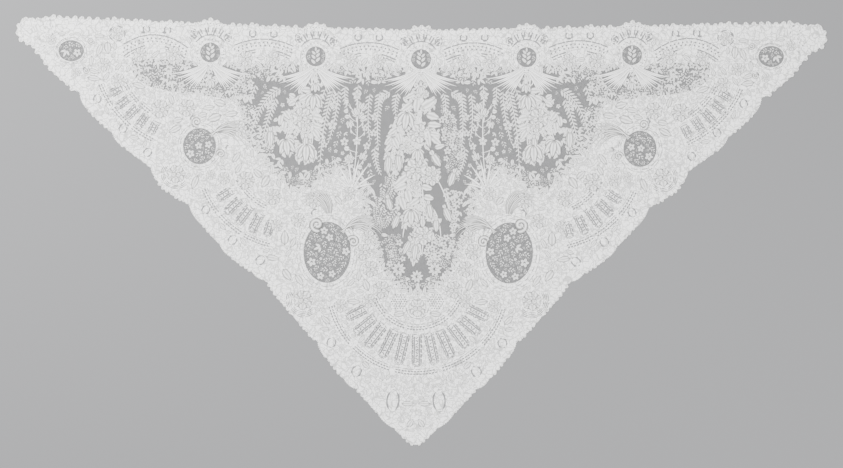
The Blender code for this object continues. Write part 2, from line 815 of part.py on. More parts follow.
# The centre bouquet, laid over the middle of the net.
# Columns: kind, u and v of the root (of the middle for a flower), length or radius, width, turn in degrees
BOUQUET_CENTRE = (
    ("leaf", -0.9, 43.9, 4.4, 1.5, 207),
    ("leaf", -1.6, 41.8, 5.2, 2.0, 217),
    ("leaf", -0.9, 44.5, 6.5, 2.3, 265),
    ("flower", 1.4, 43.2, 1.3, 1.3, 0),
    ("leaf", -0.4, 39.0, 5.7, 2.9, 32),
    ("tulip", -4.7, 35.2, 2.9, 2.9, 262),
    ("leaf", 0.6, 37.9, 5.5, 2.4, -18),
    ("leaf", 1.0, 34.4, 5.7, 2.0, -5),
    ("leaf", 1.8, 31.7, 4.8, 1.7, -12),
    ("leaf", 1.8, 31.9, 6.0, 2.0, -40),
    ("flower", -0.3, 31.3, 3.0, 3.0, 0),
    ("stem", -0.6, 42.0, 44.0, 0.9, 270),
    ("leaf", 0.9, 33.9, 7.4, 2.0, -78),
    ("leaf", -5.6, 34.2, 5.6, 1.8, 218),
    ("leaf", -7.9, 31.4, 4.6, 1.7, 231),
    ("leaf", -7.2, 32.8, 5.6, 1.7, -77),
    ("flower", -4.1, 27.4, 2.0, 2.0, 0),
    ("leaf", -8.6, 31.0, 12.9, 2.2, 264),
    ("leaf", -6.2, 29.3, 10.9, 2.4, 264),
    ("flower", -1.1, 20.0, 3.5, 3.0, 0),
    ("leaf", 0.6, 26.6, 7.8, 3.0, -52),
    ("flower", 3.6, 17.8, 2.7, 2.4, 0),
    ("leaf", -2.0, 18.8, 7.5, 2.3, 219),
    ("leaf", -2.4, 15.7, 5.8, 2.4, 204),
    ("leaf", -2.6, 16.0, 7.3, 2.5, -104),
    ("leaf", -3.6, 13.6, 7.0, 2.2, 243),
    ("leaf", -0.4, 12.4, 7.4, 2.2, 249),
    ("tulip", -2.4, 4.4, 2.8, 2.6, 270),
    ("leaf", 0.5, 12.0, 6.0, 2.2, -14),
    ("leaf", 0.6, 11.4, 8.2, 2.4, -70),
    ("leaf", 4.6, 12.0, 8.6, 2.4, -58),
    ("leaf", 1.4, 5.9, 5.6, 2.3, -28),
    ("leaf", 0.2, 6.8, 5.5, 2.6, -82),
    ("flower", 1.2, -1.3, 3.3, 2.4, 0),
    ("leaf", -0.6, -1.2, 7.0, 2.1, 244),
    ("leaf", -0.5, -2.2, 8.0, 2.4, 263),
)

# The bouquet over the side lobe of the net, right hand; the left hand's is its mirror image
BOUQUET_SIDE = (
    ("stem", 36.4, 45.6, 21.0, 0.9, 268),
    ("leaf", 35.6, 45.0, 3.4, 2.0, -6),
    ("leaf", 36.0, 43.5, 3.7, 2.2, -29),
    ("leaf", 37.4, 41.0, 5.2, 2.6, 8),
    ("tulip", 34.5, 41.1, 2.8, 2.6, 275),
    ("leaf", 37.6, 41.0, 4.4, 1.4, -41),
    ("flower", 37.8, 36.2, 3.1, 3.0, 0),
    ("leaf", 35.8, 36.8, 4.6, 2.3, 194),
    ("leaf", 35.6, 34.5, 4.4, 2.0, 200),
    ("leaf", 35.5, 34.0, 5.6, 2.0, 236),
    ("leaf", 40.0, 37.8, 5.0, 1.7, -22),
    ("leaf", 40.0, 36.0, 6.4, 1.9, -30),
    ("leaf", 39.0, 34.6, 5.2, 2.0, -36),
    ("stem", 38.2, 33.6, 10.0, 0.6, -8),
    ("leaf", 48.0, 32.9, 6.6, 2.6, -90),
    ("tulip", 42.0, 27.2, 2.8, 2.6, 262),
    ("stem", 38.4, 33.4, 6.0, 0.7, -58),
    ("tulip", 36.5, 24.9, 3.0, 3.0, 272),
    ("leaf", 36.2, 33.4, 6.8, 2.3, 272),
)

# Garlands on the net, right hand. Columns: u and v at the top, length, turn in degrees, pairs of leaves
GARLANDS = (
    (14.8, 45.0, 21.0, -94, 6),
    (25.6, 44.6, 22.0, -82, 6),
    (46.2, 44.8, 14.5, -62, 5),
)

# Feathers over the big rings and beside the upper ones, right hand.
# Columns: name, u and v of the root, length, middle turn in degrees, spread, curl, strands
PLUMES = (
    ("plume_lower", 23.2, 6.2, 11.5, 178, 44, 22, 5),
    ("plume_upper", 65.0, 36.6, 10.5, 168, 48, 26, 5),
)


def petal_outline(kind, u, v, length, width, turn):
    """Outline of one leaf, flower, tulip or stem of a bouquet."""
    a = math.radians(turn)
    if kind == "flower":
        return [(u + length * (0.92 + 0.08 * (i % 2)) * math.cos(i * math.pi / 5),
                 v + width * (0.92 + 0.08 * (i % 2)) * math.sin(i * math.pi / 5)) for i in range(10)]
    if kind == "tulip":
        shape = ((-0.9, -0.25), (-0.55, -0.75), (0.1, -0.95), (0.95, -0.8), (0.6, -0.35), (1.0, 0.0),
                 (0.6, 0.35), (0.95, 0.8), (0.1, 0.95), (-0.55, 0.75), (-0.9, 0.25))
        shape = [(p * length, q * width) for p, q in shape]
    elif kind == "stem":
        shape = [(0.0, -width / 2), (length, -width / 2), (length, width / 2), (0.0, width / 2)]
    else:
        shape = [(0.0, 0.0), (0.3 * length, -width / 2), (0.7 * length, -0.42 * width), (length, 0.0),
                 (0.7 * length, 0.42 * width), (0.3 * length, width / 2)]
    return [(u + p * math.cos(a) - q * math.sin(a), v + p * math.sin(a) + q * math.cos(a)) for p, q in shape]


def strand(u, v, length, width, turn, curl):
    """One curved strand of a feather, blunt at its root and pointed at its tip."""
    left = []
    right = []
    for t, half in ((0.0, 0.5), (0.58, 0.42)):
        a = math.radians(turn + curl * t / 2)
        heading = math.radians(turn + curl * t)
        p = (u + length * t * math.cos(a), v + length * t * math.sin(a))
        side = (-math.sin(heading) * width * half, math.cos(heading) * width * half)
        left.append((p[0] + side[0], p[1] + side[1]))
        right.append((p[0] - side[0], p[1] - side[1]))
    a = math.radians(turn + curl / 2)
    return left + [(u + length * math.cos(a), v + length * math.sin(a))] + right[::-1]


def feather(u, v, length, turn, spread, curl, strands, hand=1):
    """A comb of curved strands from one root."""
    shapes = []
    for i in range(strands):
        t = i / (strands - 1) - 0.5
        reach = length * (1.0 - 0.28 * abs(t) * 2)
        shapes.append(strand(u, v, reach, 1.15, turn + hand * spread * t, hand * curl * (0.4 + t)))
    return shapes


def garland(u, v, length, turn, pairs):
    """A hanging stem with leaves in pairs that grow smaller towards its end."""
    a = math.radians(turn)
    shapes = [petal_outline("stem", u, v, length, 0.7, turn)]
    for i in range(pairs):
        t = 0.06 + 0.9 * i / pairs
        size = 2.9 - 1.2 * t
        for side in (-1, 1):
            at = t + (0.04 if side > 0 else 0.0)
            p = (u + math.cos(a) * length * at, v + math.sin(a) * length * at)
            heading = math.radians(turn + side * 50)
            across = (-math.sin(heading) * 0.55, math.cos(heading) * 0.55)
            mid = (p[0] + math.cos(heading) * size * 0.45, p[1] + math.sin(heading) * size * 0.45)
            shapes.append([p, (mid[0] - across[0], mid[1] - across[1]),
                           (p[0] + math.cos(heading) * size, p[1] + math.sin(heading) * size),
                           (mid[0] + across[0], mid[1] + across[1])])
    return shapes


def joined_outline(shapes):
    """The outline and the gaps of overlapping shapes, as closed loops."""
    flat, _, faces = triangles_in(shapes, [], [])
    steps = {}
    for face in faces:
        for k in range(3):
            steps[(face[k], face[(k + 1) % 3])] = True
    rim = {a: b for a, b in steps if (b, a) not in steps}
    loops = []
    while rim:
        here = next(iter(rim))
        loop = []
        while here in rim:
            loop.append(tuple(flat[here]))
            here = rim.pop(here)
        loops.append(thinned(loop))
    loops = [loop for loop in loops if len(loop) > 2 and abs(area_of(loop)) > 0.12]
    loops.sort(key=lambda loop: -abs(area_of(loop)))
    return loops[0], [loop for loop in loops[1:] if area_of(loop) * area_of(loops[0]) < 0]


def thinned(loop):
    """A loop without points that lie almost on each other or on a straight run."""
    out = []
    for point in loop:
        if not out or math.hypot(point[0] - out[-1][0], point[1] - out[-1][1]) > 0.12:
            out.append(point)
    if len(out) > 3 and math.hypot(out[0][0] - out[-1][0], out[0][1] - out[-1][1]) < 0.12:
        out.pop()
    return out


def area_of(loop):
    return sum(a[0] * b[1] - b[0] * a[1] for a, b in zip(loop, loop[1:] + loop[:1])) / 2


def make_applied(name, shapes, crests):
    """A motif laid on the net, a little above it, with raised crests."""
    outline, gaps = joined_outline(shapes)
    kept = []
    for crest in crests:
        if inside(crest[0], outline) and not any(inside(crest[0], gap) for gap in gaps):
            kept.append(crest)
    wall(name, outline, gaps, kept, RAISED_WHITE, APPLIED_BASE, APPLIED_WALL)


def bouquet(rows):
    shapes = [petal_outline(*row) for row in rows]
    crests = []
    for kind, u, v, length, width, turn in rows:
        a = math.radians(turn)
        if kind == "leaf":
            crests.append([(u + math.cos(a) * length * 0.62, v + math.sin(a) * length * 0.62, RELIEF)])
        elif kind != "stem":
            crests.append([(u, v, RELIEF)])
    return shapes, crests


def make_motifs():
    """Bouquets, garlands and feathers on the net."""
    make_applied("bouquet_centre", *bouquet(BOUQUET_CENTRE))
    shapes, crests = bouquet(BOUQUET_SIDE)
    make_applied("bouquet_right", shapes, crests)
    make_applied("bouquet_left", [mirrored(shape) for shape in shapes], [mirrored(c) for c in crests])
    for index, row in enumerate(GARLANDS):
        shapes = garland(*row)
        make_applied("garland_right_%d" % (index + 1), shapes, [])
        make_applied("garland_left_%d" % (index + 1), [mirrored(shape) for shape in shapes], [])
    for name, u, v, length, turn, spread, curl, strands in PLUMES:
        shapes = feather(u, v, length, turn, spread, curl, strands)
        make_applied(name + "_right", shapes, [])
        make_applied(name + "_left", [mirrored(shape) for shape in shapes], [])
    for index in range(5):
        middle = (index - 2) * BAY
        root = top_line(middle) - PALMETTE_DROP
        shapes = [petal_outline("tulip", middle, root - 1.5, 1.7, 1.5, 270)]
        shapes.append(petal_outline("leaf", middle, root + 1.0, 3.0, 1.6, 270))
        for hand in (-1, 1):
            turn = -22 if hand > 0 else 202
            shapes += feather(middle - hand * 0.2, root + 0.4, 10.8, turn, 40, 20, 5, hand)
        make_applied("palmette_%d" % (index + 1), shapes, [])


def clear_scene():
    for item in list(bpy.data.objects):
        bpy.data.objects.remove(item)


def find_middle():
    """The middle of the whole outline's box as it lies, which becomes the origin."""
    lobe, lobe_end = lobe_edge()
    points = []
    rim = lobe + [p for part in side_edges(lobe_end).values() for p in part]
    for sign in (-1, 1):
        points += [lay(sign * p[0], p[1]) for p in rim]
    for sign in (-1, 1):
        points += [lay(sign * p[0], p[1]) for p in end_top_edge()["end"] + end_top_edge()["out"]]
    xs = [p[0] for p in points]
    ys = [p[1] for p in points]
    return (min(xs) + max(xs)) / 2, (min(ys) + max(ys)) / 2


def main():
    clear_scene()
    MIDDLE[0], MIDDLE[1] = find_middle()
    make_top_border()
    for sign, hand in ((1, "right"), (-1, "left")):
        make_side(sign, hand)
    make_bottom()
    make_net_ground()
    make_motifs()


main()
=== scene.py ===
"""Looks of a triangular lace shawl laid flat: dense cloth, fine net, applied flowers, outline threads.

The chart is drawn in centimetres for the right-hand half, u across and v up, and is mirrored.
"""
import math
import random

import bmesh
import bpy
import numpy as np
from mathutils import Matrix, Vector, noise
from mathutils.geometry import delaunay_2d_cdt


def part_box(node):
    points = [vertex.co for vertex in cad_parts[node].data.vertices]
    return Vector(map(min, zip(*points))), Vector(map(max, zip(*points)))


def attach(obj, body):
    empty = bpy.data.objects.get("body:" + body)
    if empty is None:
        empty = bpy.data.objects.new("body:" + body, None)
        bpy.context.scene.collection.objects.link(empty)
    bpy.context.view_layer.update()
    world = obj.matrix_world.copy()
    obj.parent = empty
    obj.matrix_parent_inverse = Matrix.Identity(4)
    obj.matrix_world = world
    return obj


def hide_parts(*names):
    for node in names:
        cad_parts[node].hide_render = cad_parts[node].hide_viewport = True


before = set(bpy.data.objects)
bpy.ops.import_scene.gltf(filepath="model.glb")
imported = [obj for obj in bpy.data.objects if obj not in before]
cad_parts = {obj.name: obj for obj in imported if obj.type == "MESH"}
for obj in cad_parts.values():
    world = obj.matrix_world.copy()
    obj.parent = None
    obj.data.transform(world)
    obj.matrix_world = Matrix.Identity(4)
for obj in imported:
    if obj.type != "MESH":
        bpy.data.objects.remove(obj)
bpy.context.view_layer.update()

bl_info = {
    "name": "Lace shawl",
    "version": (1, 0, 0),
    "blender": (4, 5, 0),
    "location": "3D View > Sidebar > Shawl",
    "description": "Builds a triangular lace shawl laid flat, with its net, flowers and outline threads",
    "category": "Object",
}

CM = 0.01
ROOT_3 = math.sqrt(3.0)

# The chart's driving lines, as in the part: top edge, its bays and how the cloth was laid down
TOP_V = 63.8
TOP_RISE = 3.2
TOP_REACH = 112.0
BAY = 33.8
CROWN_HALF = 4.3
LEAN = 0.0149
LEAN_TOP = -0.32
END_DROP = 1.1
CHART_REACH = 126.0
LEAN_FROM_V = 64.3
MEDALLION_DROP = 8.7
MEDALLION_NET_R = 3.2

# Bays between the medallions, right hand: middle, breadth against the first, fall of the arcs at their ends
BAYS = ((BAY / 2, 1.0, 2.3), (3 * BAY / 2, 1.0, 2.3), (85.8, 1.14, 4.2))


def top_line(u):
    """Height of the top edge's base line at u: the edge sags towards the middle."""
    return TOP_V + TOP_RISE * (abs(u) / TOP_REACH) ** 1.2


def laid(u, v):
    """A charted point as it lies on the table, in centimetres, before the middle is taken off."""
    x = u + LEAN_TOP - LEAN * (LEAN_FROM_V - v)
    y = v - END_DROP * (u / CHART_REACH) * (abs(u) / CHART_REACH) ** 0.6
    return x, y


def chart_middle():
    """Where the part's origin falls on the chart, read from the net of the middle medallion."""
    low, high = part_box("medallion_net_3")
    x, y = laid(0.0, top_line(0.0) - MEDALLION_DROP)
    return x - (low[0] + high[0]) / 2 / CM, y - (low[1] + high[1]) / 2 / CM


MIDDLE_X, MIDDLE_Y = chart_middle()


def place(u, v):
    """A charted point in the part's frame, in centimetres."""
    x, y = laid(u, v)
    return x - MIDDLE_X, y - MIDDLE_Y


# Sizes and colours that a user may change


def length_setting(name, description, default):
    return bpy.props.FloatProperty(name=name, description=description, default=default, unit="LENGTH")


def colour_setting(name, description, default):
    return bpy.props.FloatVectorProperty(name=name, description=description, default=default,
                                         subtype="COLOR", size=3, min=0.0, max=1.0)


class ShawlSizes(bpy.types.PropertyGroup):
    cloth_low: length_setting("Cloth underside", "Height of the dense cloth's underside over the table", 0.0002)
    cloth_thick: length_setting("Cloth thickness", "Thickness of the dense cloth", 0.0009)
    net_low: length_setting("Net underside", "Height of the net's underside over the table", 0.0003)
    net_thick: length_setting("Net thickness", "Thickness of the net's threads", 0.0003)
    net_mesh: length_setting("Net mesh", "Width of one six-sided mesh of the net", 0.0024)
    net_thread: length_setting("Net thread", "Width of the net's threads", 0.00026)
    outline_thread: length_setting("Outline thread", "Thickness of the raised thread along outlines", 0.0012)
    picot: length_setting("Picot", "Length of one loop of the picot edge", 0.003)


class ShawlColours(bpy.types.PropertyGroup):
    cloth: colour_setting("Cloth", "Colour of the dense cloth", (0.92, 0.915, 0.90))
    # The line colour is painted shade: the near-black of the shadow that shows through at the rims of leaves and
    # petals and in the dense cloth's open lines and dots.
    line: colour_setting("Painted shade line", "Colour at the rim of each leaf and petal, where the thread is open",
                         (0.06, 0.059, 0.056))
    # The net's thread is white; this grey paints the shade seen through and under the fine net.
    net: colour_setting("Net", "Colour of the net's threads", (0.24, 0.238, 0.233))
    floor: colour_setting("Floor", "Colour of the floor", (0.2, 0.2, 0.203))


class ShawlStage(bpy.types.PropertyGroup):
    lens: bpy.props.FloatProperty(name="Lens", description="Focal length of the camera, in millimetres",
                                  default=100.0)
    frame_width: length_setting("Frame width", "Width of floor that the picture takes in", 2.7027)
    key_power: bpy.props.FloatProperty(name="Key light", description="Power of the large soft light",
                                       default=560.0, unit="POWER")
    fill: bpy.props.FloatProperty(name="Fill", description="Strength of the light from all round", default=0.9)


# Shapes on the chart


def blend(a, b, t):
    return a[0] + (b[0] - a[0]) * t, a[1] + (b[1] - a[1]) * t


def polar(u, v, reach, turn):
    """The point at a distance from (u, v), in the direction of turn in degrees."""
    a = math.radians(turn)
    return u + reach * math.cos(a), v + reach * math.sin(a)


def arc(u, v, radius_u, radius_v, start, stop, count):
    """Points on an arc, angles in degrees."""
    out = []
    for i in range(count):
        a = math.radians(start + (stop - start) * i / (count - 1))
        out.append((u + radius_u * math.cos(a), v + radius_v * math.sin(a)))
    return out


# Cuts are charted for a tight cloth; the worn cloth has them this much wider
CUT_WIDTH = 2.0


def stroke(line, width):
    """A thin cut along a line of points, pointed at both ends."""
    width *= CUT_WIDTH
    left = []
    right = []
    for i, here in enumerate(line):
        before = line[max(i - 1, 0)]
        after = line[min(i + 1, len(line) - 1)]
        d = Vector((after[0] - before[0], after[1] - before[1])).normalized() * width / 2
        if len(line) > 2 and i in (0, len(line) - 1):
            d *= 0.45
        left.append((here[0] - d.y, here[1] + d.x))
        right.append((here[0] + d.y, here[1] - d.x))
    return left + right[::-1]


def flipped(loop):
    return [(-p[0], p[1]) for p in loop]


# Outlines read from the part's own sections


def node_loops(node):
    """The closed outlines of a section's underside in centimetres, the outer one first."""
    mesh = bmesh.new()
    mesh.from_mesh(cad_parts[node].data)
    bmesh.ops.remove_doubles(mesh, verts=mesh.verts, dist=1e-6)
    lowest = min(vert.co.z for vert in mesh.verts)
    flat = {face for face in mesh.faces if all(vert.co.z < lowest + 1e-5 for vert in face.verts)}
    after = {}
    for face in mesh.faces:
        for loop in face.loops if face in flat else ():
            other = [f for f in loop.edge.link_faces if f is not face]
            if not other or other[0] not in flat:
                after[loop.vert.index] = (loop.link_loop_next.vert.index, loop.vert.co.copy())
    mesh.free()
    loops = []
    while after:
        here = next(iter(after))
        points = []
        while here in after:
            here, co = after.pop(here)
            points.append((co.x / CM, co.y / CM))
        loops.append(points)
    loops.sort(key=lambda loop: -abs(area_of(loop)))
    return loops


def area_of(loop):
    return sum(a[0] * b[1] - b[0] * a[1] for a, b in zip(loop, loop[1:] + loop[:1])) / 2


def rounded(loop, longest=3.9, corner=50.0):
    """A loop with its short runs rounded off between its corners."""
    count = len(loop)
    points = [Vector(p) for p in loop]
    tangents = []
    for i in range(count):
        before = points[i] - points[i - 1]
        after = points[(i + 1) % count] - points[i]
        turned = math.degrees(before.angle(after, 0.0))
        short = before.length < longest and after.length < longest
        tangents.append((before + after) / 2 if turned < corner and short else None)
    out = []
    for i in range(count):
        a = points[i]
        b = points[(i + 1) % count]
        step = b - a
        out.append((a.x, a.y))
        if step.length > longest or step.length < 0.25:
            continue
        start = tangents[i] if tangents[i] is not None else step
        stop = tangents[(i + 1) % count] if tangents[(i + 1) % count] is not None else step
        if start is step and stop is step:
            continue
        start = start.normalized() * step.length
        stop = stop.normalized() * step.length
        cuts = 2 if step.length < 1.4 else 3
        for k in range(1, cuts):
            t = k / cuts
            p = (a * (2 * t ** 3 - 3 * t ** 2 + 1) + start * (t ** 3 - 2 * t ** 2 + t)
                 + b * (3 * t ** 2 - 2 * t ** 3) + stop * (t ** 3 - t ** 2))
            out.append((p.x, p.y))
    return out


# Meshes


def new_piece(name, verts, faces, material):
    data = bpy.data.meshes.new(name)
    data.from_pydata(verts, [], faces)
    data.materials.append(material)
    piece = bpy.data.objects.new(name, data)
    bpy.context.collection.objects.link(piece)
    return piece


def cut_sheet(name, outline, holes, low, thick, material):
    """A flat sheet with its holes cut through, closed all round."""
    points = []
    regions = []
    for loop in [outline] + holes:
        if area_of(loop) < 0:
            loop = loop[::-1]
        first = len(points)
        points += [Vector(p) for p in loop]
        regions.append(list(range(first, first + len(loop))))
    flat, _, faces, _, _, inside = delaunay_2d_cdt(points, [], regions, 0, 1e-5)
    kept = [tuple(face) for face, owners in zip(faces, inside) if owners == [0]]
    used = sorted({i for face in kept for i in face})
    index = {old: new for new, old in enumerate(used)}
    count = len(used)
    verts = [(flat[i][0] * CM, flat[i][1] * CM, low) for i in used]
    verts += [(flat[i][0] * CM, flat[i][1] * CM, low + thick) for i in used]
    built = []
    sides = set()
    for a, b, c in kept:
        a, b, c = index[a], index[b], index[c]
        built.append((c, b, a))
        built.append((a + count, b + count, c + count))
        sides.update(((a, b), (b, c), (c, a)))
    for a, b in sides:
        if (b, a) not in sides:
            built.append((a, b, b + count, a + count))
    return new_piece(name, verts, built, material)


# Unit shapes that the flowers are made of: root at the origin, tip at +X, one long, one wide, one high

LEAF_STATIONS = ((0.0, 0.0), (0.22, 0.40), (0.52, 0.50), (0.82, 0.27), (1.0, 0.0))
PETAL_STATIONS = ((0.0, 0.0), (0.25, 0.30), (0.66, 0.50), (0.92, 0.32), (1.0, 0.0))
STRAND_STATIONS = ((0.0, 0.0), (0.12, 0.45), (0.6, 0.42), (1.0, 0.0))
# Across a leaf: share of the half width, height, rim mark (its share of painted shade, at the edges and in the
# midrib's groove)
LEAF_SECTION = ((-1.0, 0.0, 1.0), (-0.5, 1.0, 0.0), (0.0, 0.62, 0.55), (0.5, 1.0, 0.0), (1.0, 0.0, 1.0))
PETAL_SECTION = ((-1.0, 0.0, 1.0), (-0.55, 0.9, 0.0), (0.0, 1.0, 0.0), (0.55, 0.9, 0.0), (1.0, 0.0, 1.0))


def unit_object(name, mesh):
    """The finished unit shape, in triangles and with its faces out."""
    bmesh.ops.recalc_face_normals(mesh, faces=mesh.faces)
    bmesh.ops.triangulate(mesh, faces=mesh.faces)
    data = bpy.data.meshes.new(name)
    mesh.to_mesh(data)
    mesh.free()
    return bpy.data.objects.new(name, data)


def marked_vert(mesh, rim, co, mark):
    vert = mesh.verts.new(co)
    vert[rim] = mark
    return vert


def unit_blade(name, stations, section):
    """A leaf or petal swept from its root to its tip."""
    mesh = bmesh.new()
    rim = mesh.verts.layers.float.new("rim")
    rows = []
    for t, half in stations:
        if half == 0.0:
            rows.append([marked_vert(mesh, rim, (t, 0.0, 0.0), 1.0)] * len(section))
        else:
            rows.append([marked_vert(mesh, rim, (t, share * half, height), mark)
                         for share, height, mark in section])
    for row, after in zip(rows, rows[1:]):
        for k in range(len(section) - 1):
            corners = []
            for vert in (row[k], after[k], after[k + 1], row[k + 1]):
                if vert not in corners:
                    corners.append(vert)
            if len(corners) > 2:
                mesh.faces.new(corners)
    left = [row[0] for row in rows]
    right = [row[-1] for row in rows[1:-1]]
    mesh.faces.new(left + right[::-1])
    return unit_object(name, mesh)


def unit_button(name, sides, rings):
    """A round low dome, one wide."""
    mesh = bmesh.new()
    rim = mesh.verts.layers.float.new("rim")
    rows = []
    turns = [2 * math.pi * i / sides for i in range(sides)]
    for reach, height, mark in rings:
        rows.append([marked_vert(mesh, rim, (0.5 * reach * math.cos(a), 0.5 * reach * math.sin(a), height), mark)
                     for a in turns])
    for row, after in zip(rows, rows[1:]):
        for i in range(sides):
            k = (i + 1) % sides
            mesh.faces.new((row[i], row[k], after[k], after[i]))
    mesh.faces.new(rows[-1])
    mesh.faces.new(rows[0][::-1])
    return unit_object(name, mesh)


KINDS = {"leaf": 0, "petal": 1, "button": 2, "ring": 3, "strand": 4}


def unit_collection():
    """The unit shapes, in the order of KINDS."""
    found = bpy.data.collections.get("unit_shapes")
    if found:
        return found
    units = bpy.data.collections.new("unit_shapes")
    units.objects.link(unit_blade("unit_0_leaf", LEAF_STATIONS, LEAF_SECTION))
    units.objects.link(unit_blade("unit_1_petal", PETAL_STATIONS, PETAL_SECTION))
    # The last number of each ring is its share of painted shade: at the outer edge, and for the ring also round its
    # hole.
    units.objects.link(unit_button("unit_2_button", 8, ((1.0, 0.0, 1.0), (0.72, 0.9, 0.0), (0.3, 1.0, 0.0))))
    units.objects.link(unit_button("unit_3_ring", 12, ((1.0, 0.0, 1.0), (0.86, 1.0, 0.0), (0.6, 0.9, 0.0),
                                                      (0.5, 0.2, 0.9))))
    units.objects.link(unit_blade("unit_4_strand", STRAND_STATIONS, PETAL_SECTION))
    return units


def wired(tree, kind, inputs=(), **settings):
    """A new node with its settings, each named or numbered input wired to a socket or set to a value."""
    node = tree.nodes.new(kind)
    for name, value in settings.items():
        setattr(node, name, value)
    for slot, value in dict(inputs).items():
        if isinstance(value, bpy.types.NodeSocket):
            tree.links.new(value, node.inputs[slot])
        else:
            node.inputs[slot].default_value = value
    return node


def geometry_tree(name, *sockets):
    """A Geometry Nodes tree with geometry in and out, the named inputs and a finish for the result."""
    tree = bpy.data.node_groups.new(name, "GeometryNodeTree")
    for label, kind in (("Geometry", "Geometry"), *sockets, ("Finish", "Material")):
        tree.interface.new_socket(label, in_out="INPUT", socket_type="NodeSocket" + kind)
    tree.interface.new_socket("Geometry", in_out="OUTPUT", socket_type="NodeSocketGeometry")
    return tree, tree.nodes.new("NodeGroupInput").outputs


def unit_shapes_tree():
    """Geometry Nodes: a unit shape on each charted point, turned and sized by the point's own values."""
    tree = bpy.data.node_groups.get("laid_shapes")
    if tree:
        return tree
    tree, start = geometry_tree("laid_shapes", ("Shapes", "Collection"), ("Swell", "Float"))
    shapes = wired(tree, "GeometryNodeCollectionInfo", {
        "Collection": start["Shapes"], "Separate Children": True, "Reset Children": True})
    heading = wired(tree, "ShaderNodeCombineXYZ", {"Z": named_value(tree, "turn", "FLOAT")})
    rotation = wired(tree, "FunctionNodeEulerToRotation", {0: heading.outputs[0]})
    swell = wired(tree, "ShaderNodeCombineXYZ", {"X": 1.0, "Y": 1.0, "Z": start["Swell"]})
    scale = wired(tree, "ShaderNodeVectorMath", {
        0: named_value(tree, "size", "FLOAT_VECTOR"), 1: swell.outputs[0]}, operation="MULTIPLY")
    laid_out = wired(tree, "GeometryNodeInstanceOnPoints", {
        "Points": start["Geometry"], "Instance": shapes.outputs[0], "Pick Instance": True,
        "Instance Index": named_value(tree, "kind", "INT"), "Rotation": rotation.outputs[0],
        "Scale": scale.outputs[0]})
    return finish(tree, start, laid_out.outputs[0])


def named_value(tree, name, data_type):
    node = wired(tree, "GeometryNodeInputNamedAttribute", {"Name": name}, data_type=data_type)
    return node.outputs["Attribute"]


def finish(tree, start, geometry):
    """The last two steps of every tree: real geometry, in its own material."""
    real = wired(tree, "GeometryNodeRealizeInstances", {0: geometry})
    coat = wired(tree, "GeometryNodeSetMaterial", {"Geometry": real.outputs[0], "Material": start["Finish"]})
    wired(tree, "NodeGroupOutput", {0: coat.outputs[0]})
    return tree


def grown(name, data, tree, inputs):
    """The tree's result on a mesh, as a plain piece at the origin."""
    seed = bpy.data.objects.new(name + "_seed", data)
    bpy.context.collection.objects.link(seed)
    modifier = seed.modifiers.new("grow", "NODES")
    modifier.node_group = tree
    for item in tree.interface.items_tree:
        if item.item_type == "SOCKET" and item.in_out == "INPUT" and item.name in inputs:
            modifier[item.identifier] = inputs[item.name]
    graph = bpy.context.evaluated_depsgraph_get()
    result = bpy.data.meshes.new_from_object(seed.evaluated_get(graph))
    result.name = name
    bpy.data.objects.remove(seed)
    piece = bpy.data.objects.new(name, result)
    bpy.context.collection.objects.link(piece)
    return piece


def grow_shapes(name, rows, material, swell=1.0):
    """Leaves, petals and buttons at charted places. Rows: kind, u, v, turn, length, width, rise, height."""
    data = bpy.data.meshes.new(name)
    places = []
    for row in rows:
        x, y = place(row[1], row[2])
        places.append((x * CM, y * CM, row[7] * CM))
    data.from_pydata(places, [], [])
    kind = data.attributes.new("kind", "INT", "POINT")
    turn = data.attributes.new("turn", "FLOAT", "POINT")
    size = data.attributes.new("size", "FLOAT_VECTOR", "POINT")
    kind.data.foreach_set("value", [KINDS[row[0]] for row in rows])
    turn.data.foreach_set("value", [math.radians(row[3]) for row in rows])
    sizes = []
    for row in rows:
        sizes += [row[4] * CM, row[5] * CM, row[6] * CM]
    size.data.foreach_set("vector", sizes)
    inputs = {"Shapes": unit_collection(), "Swell": swell, "Finish": material}
    return grown(name, data, unit_shapes_tree(), inputs)


def both_hands(rows):
    """Rows of the right-hand half with their mirror images."""
    out = []
    for row in rows:
        out.append(row)
        if abs(row[1]) > 0.01 or abs(math.cos(math.radians(row[3]))) > 0.01:
            out.append((row[0], -row[1], row[2], 180.0 - row[3]) + row[4:])
    return out


# Shader groups and materials


def shader_group(name, inputs, output):
    """A shared shader effect: position and numbers in, numbers out."""
    group = bpy.data.node_groups.new(name, "ShaderNodeTree")
    group.interface.new_socket("Position", in_out="INPUT", socket_type="NodeSocketVector")
    for label, value in inputs:
        socket = group.interface.new_socket(label, in_out="INPUT", socket_type="NodeSocketFloat")
        socket.default_value = value
    for label in output:
        group.interface.new_socket(label, in_out="OUTPUT", socket_type="NodeSocketFloat")
    return group, group.nodes.new("NodeGroupInput").outputs, group.nodes.new("NodeGroupOutput")


def maths(tree, operation, a, b):
    return wired(tree, "ShaderNodeMath", {0: a, 1: b} if b is not None else {0: a}, operation=operation).outputs[0]


def vectors(tree, operation, a, b=None, scale=None, out=0):
    inputs = {0: a}
    if b is not None:
        inputs[1] = b
    if scale is not None:
        inputs["Scale"] = scale
    return wired(tree, "ShaderNodeVectorMath", inputs, operation=operation).outputs[out]


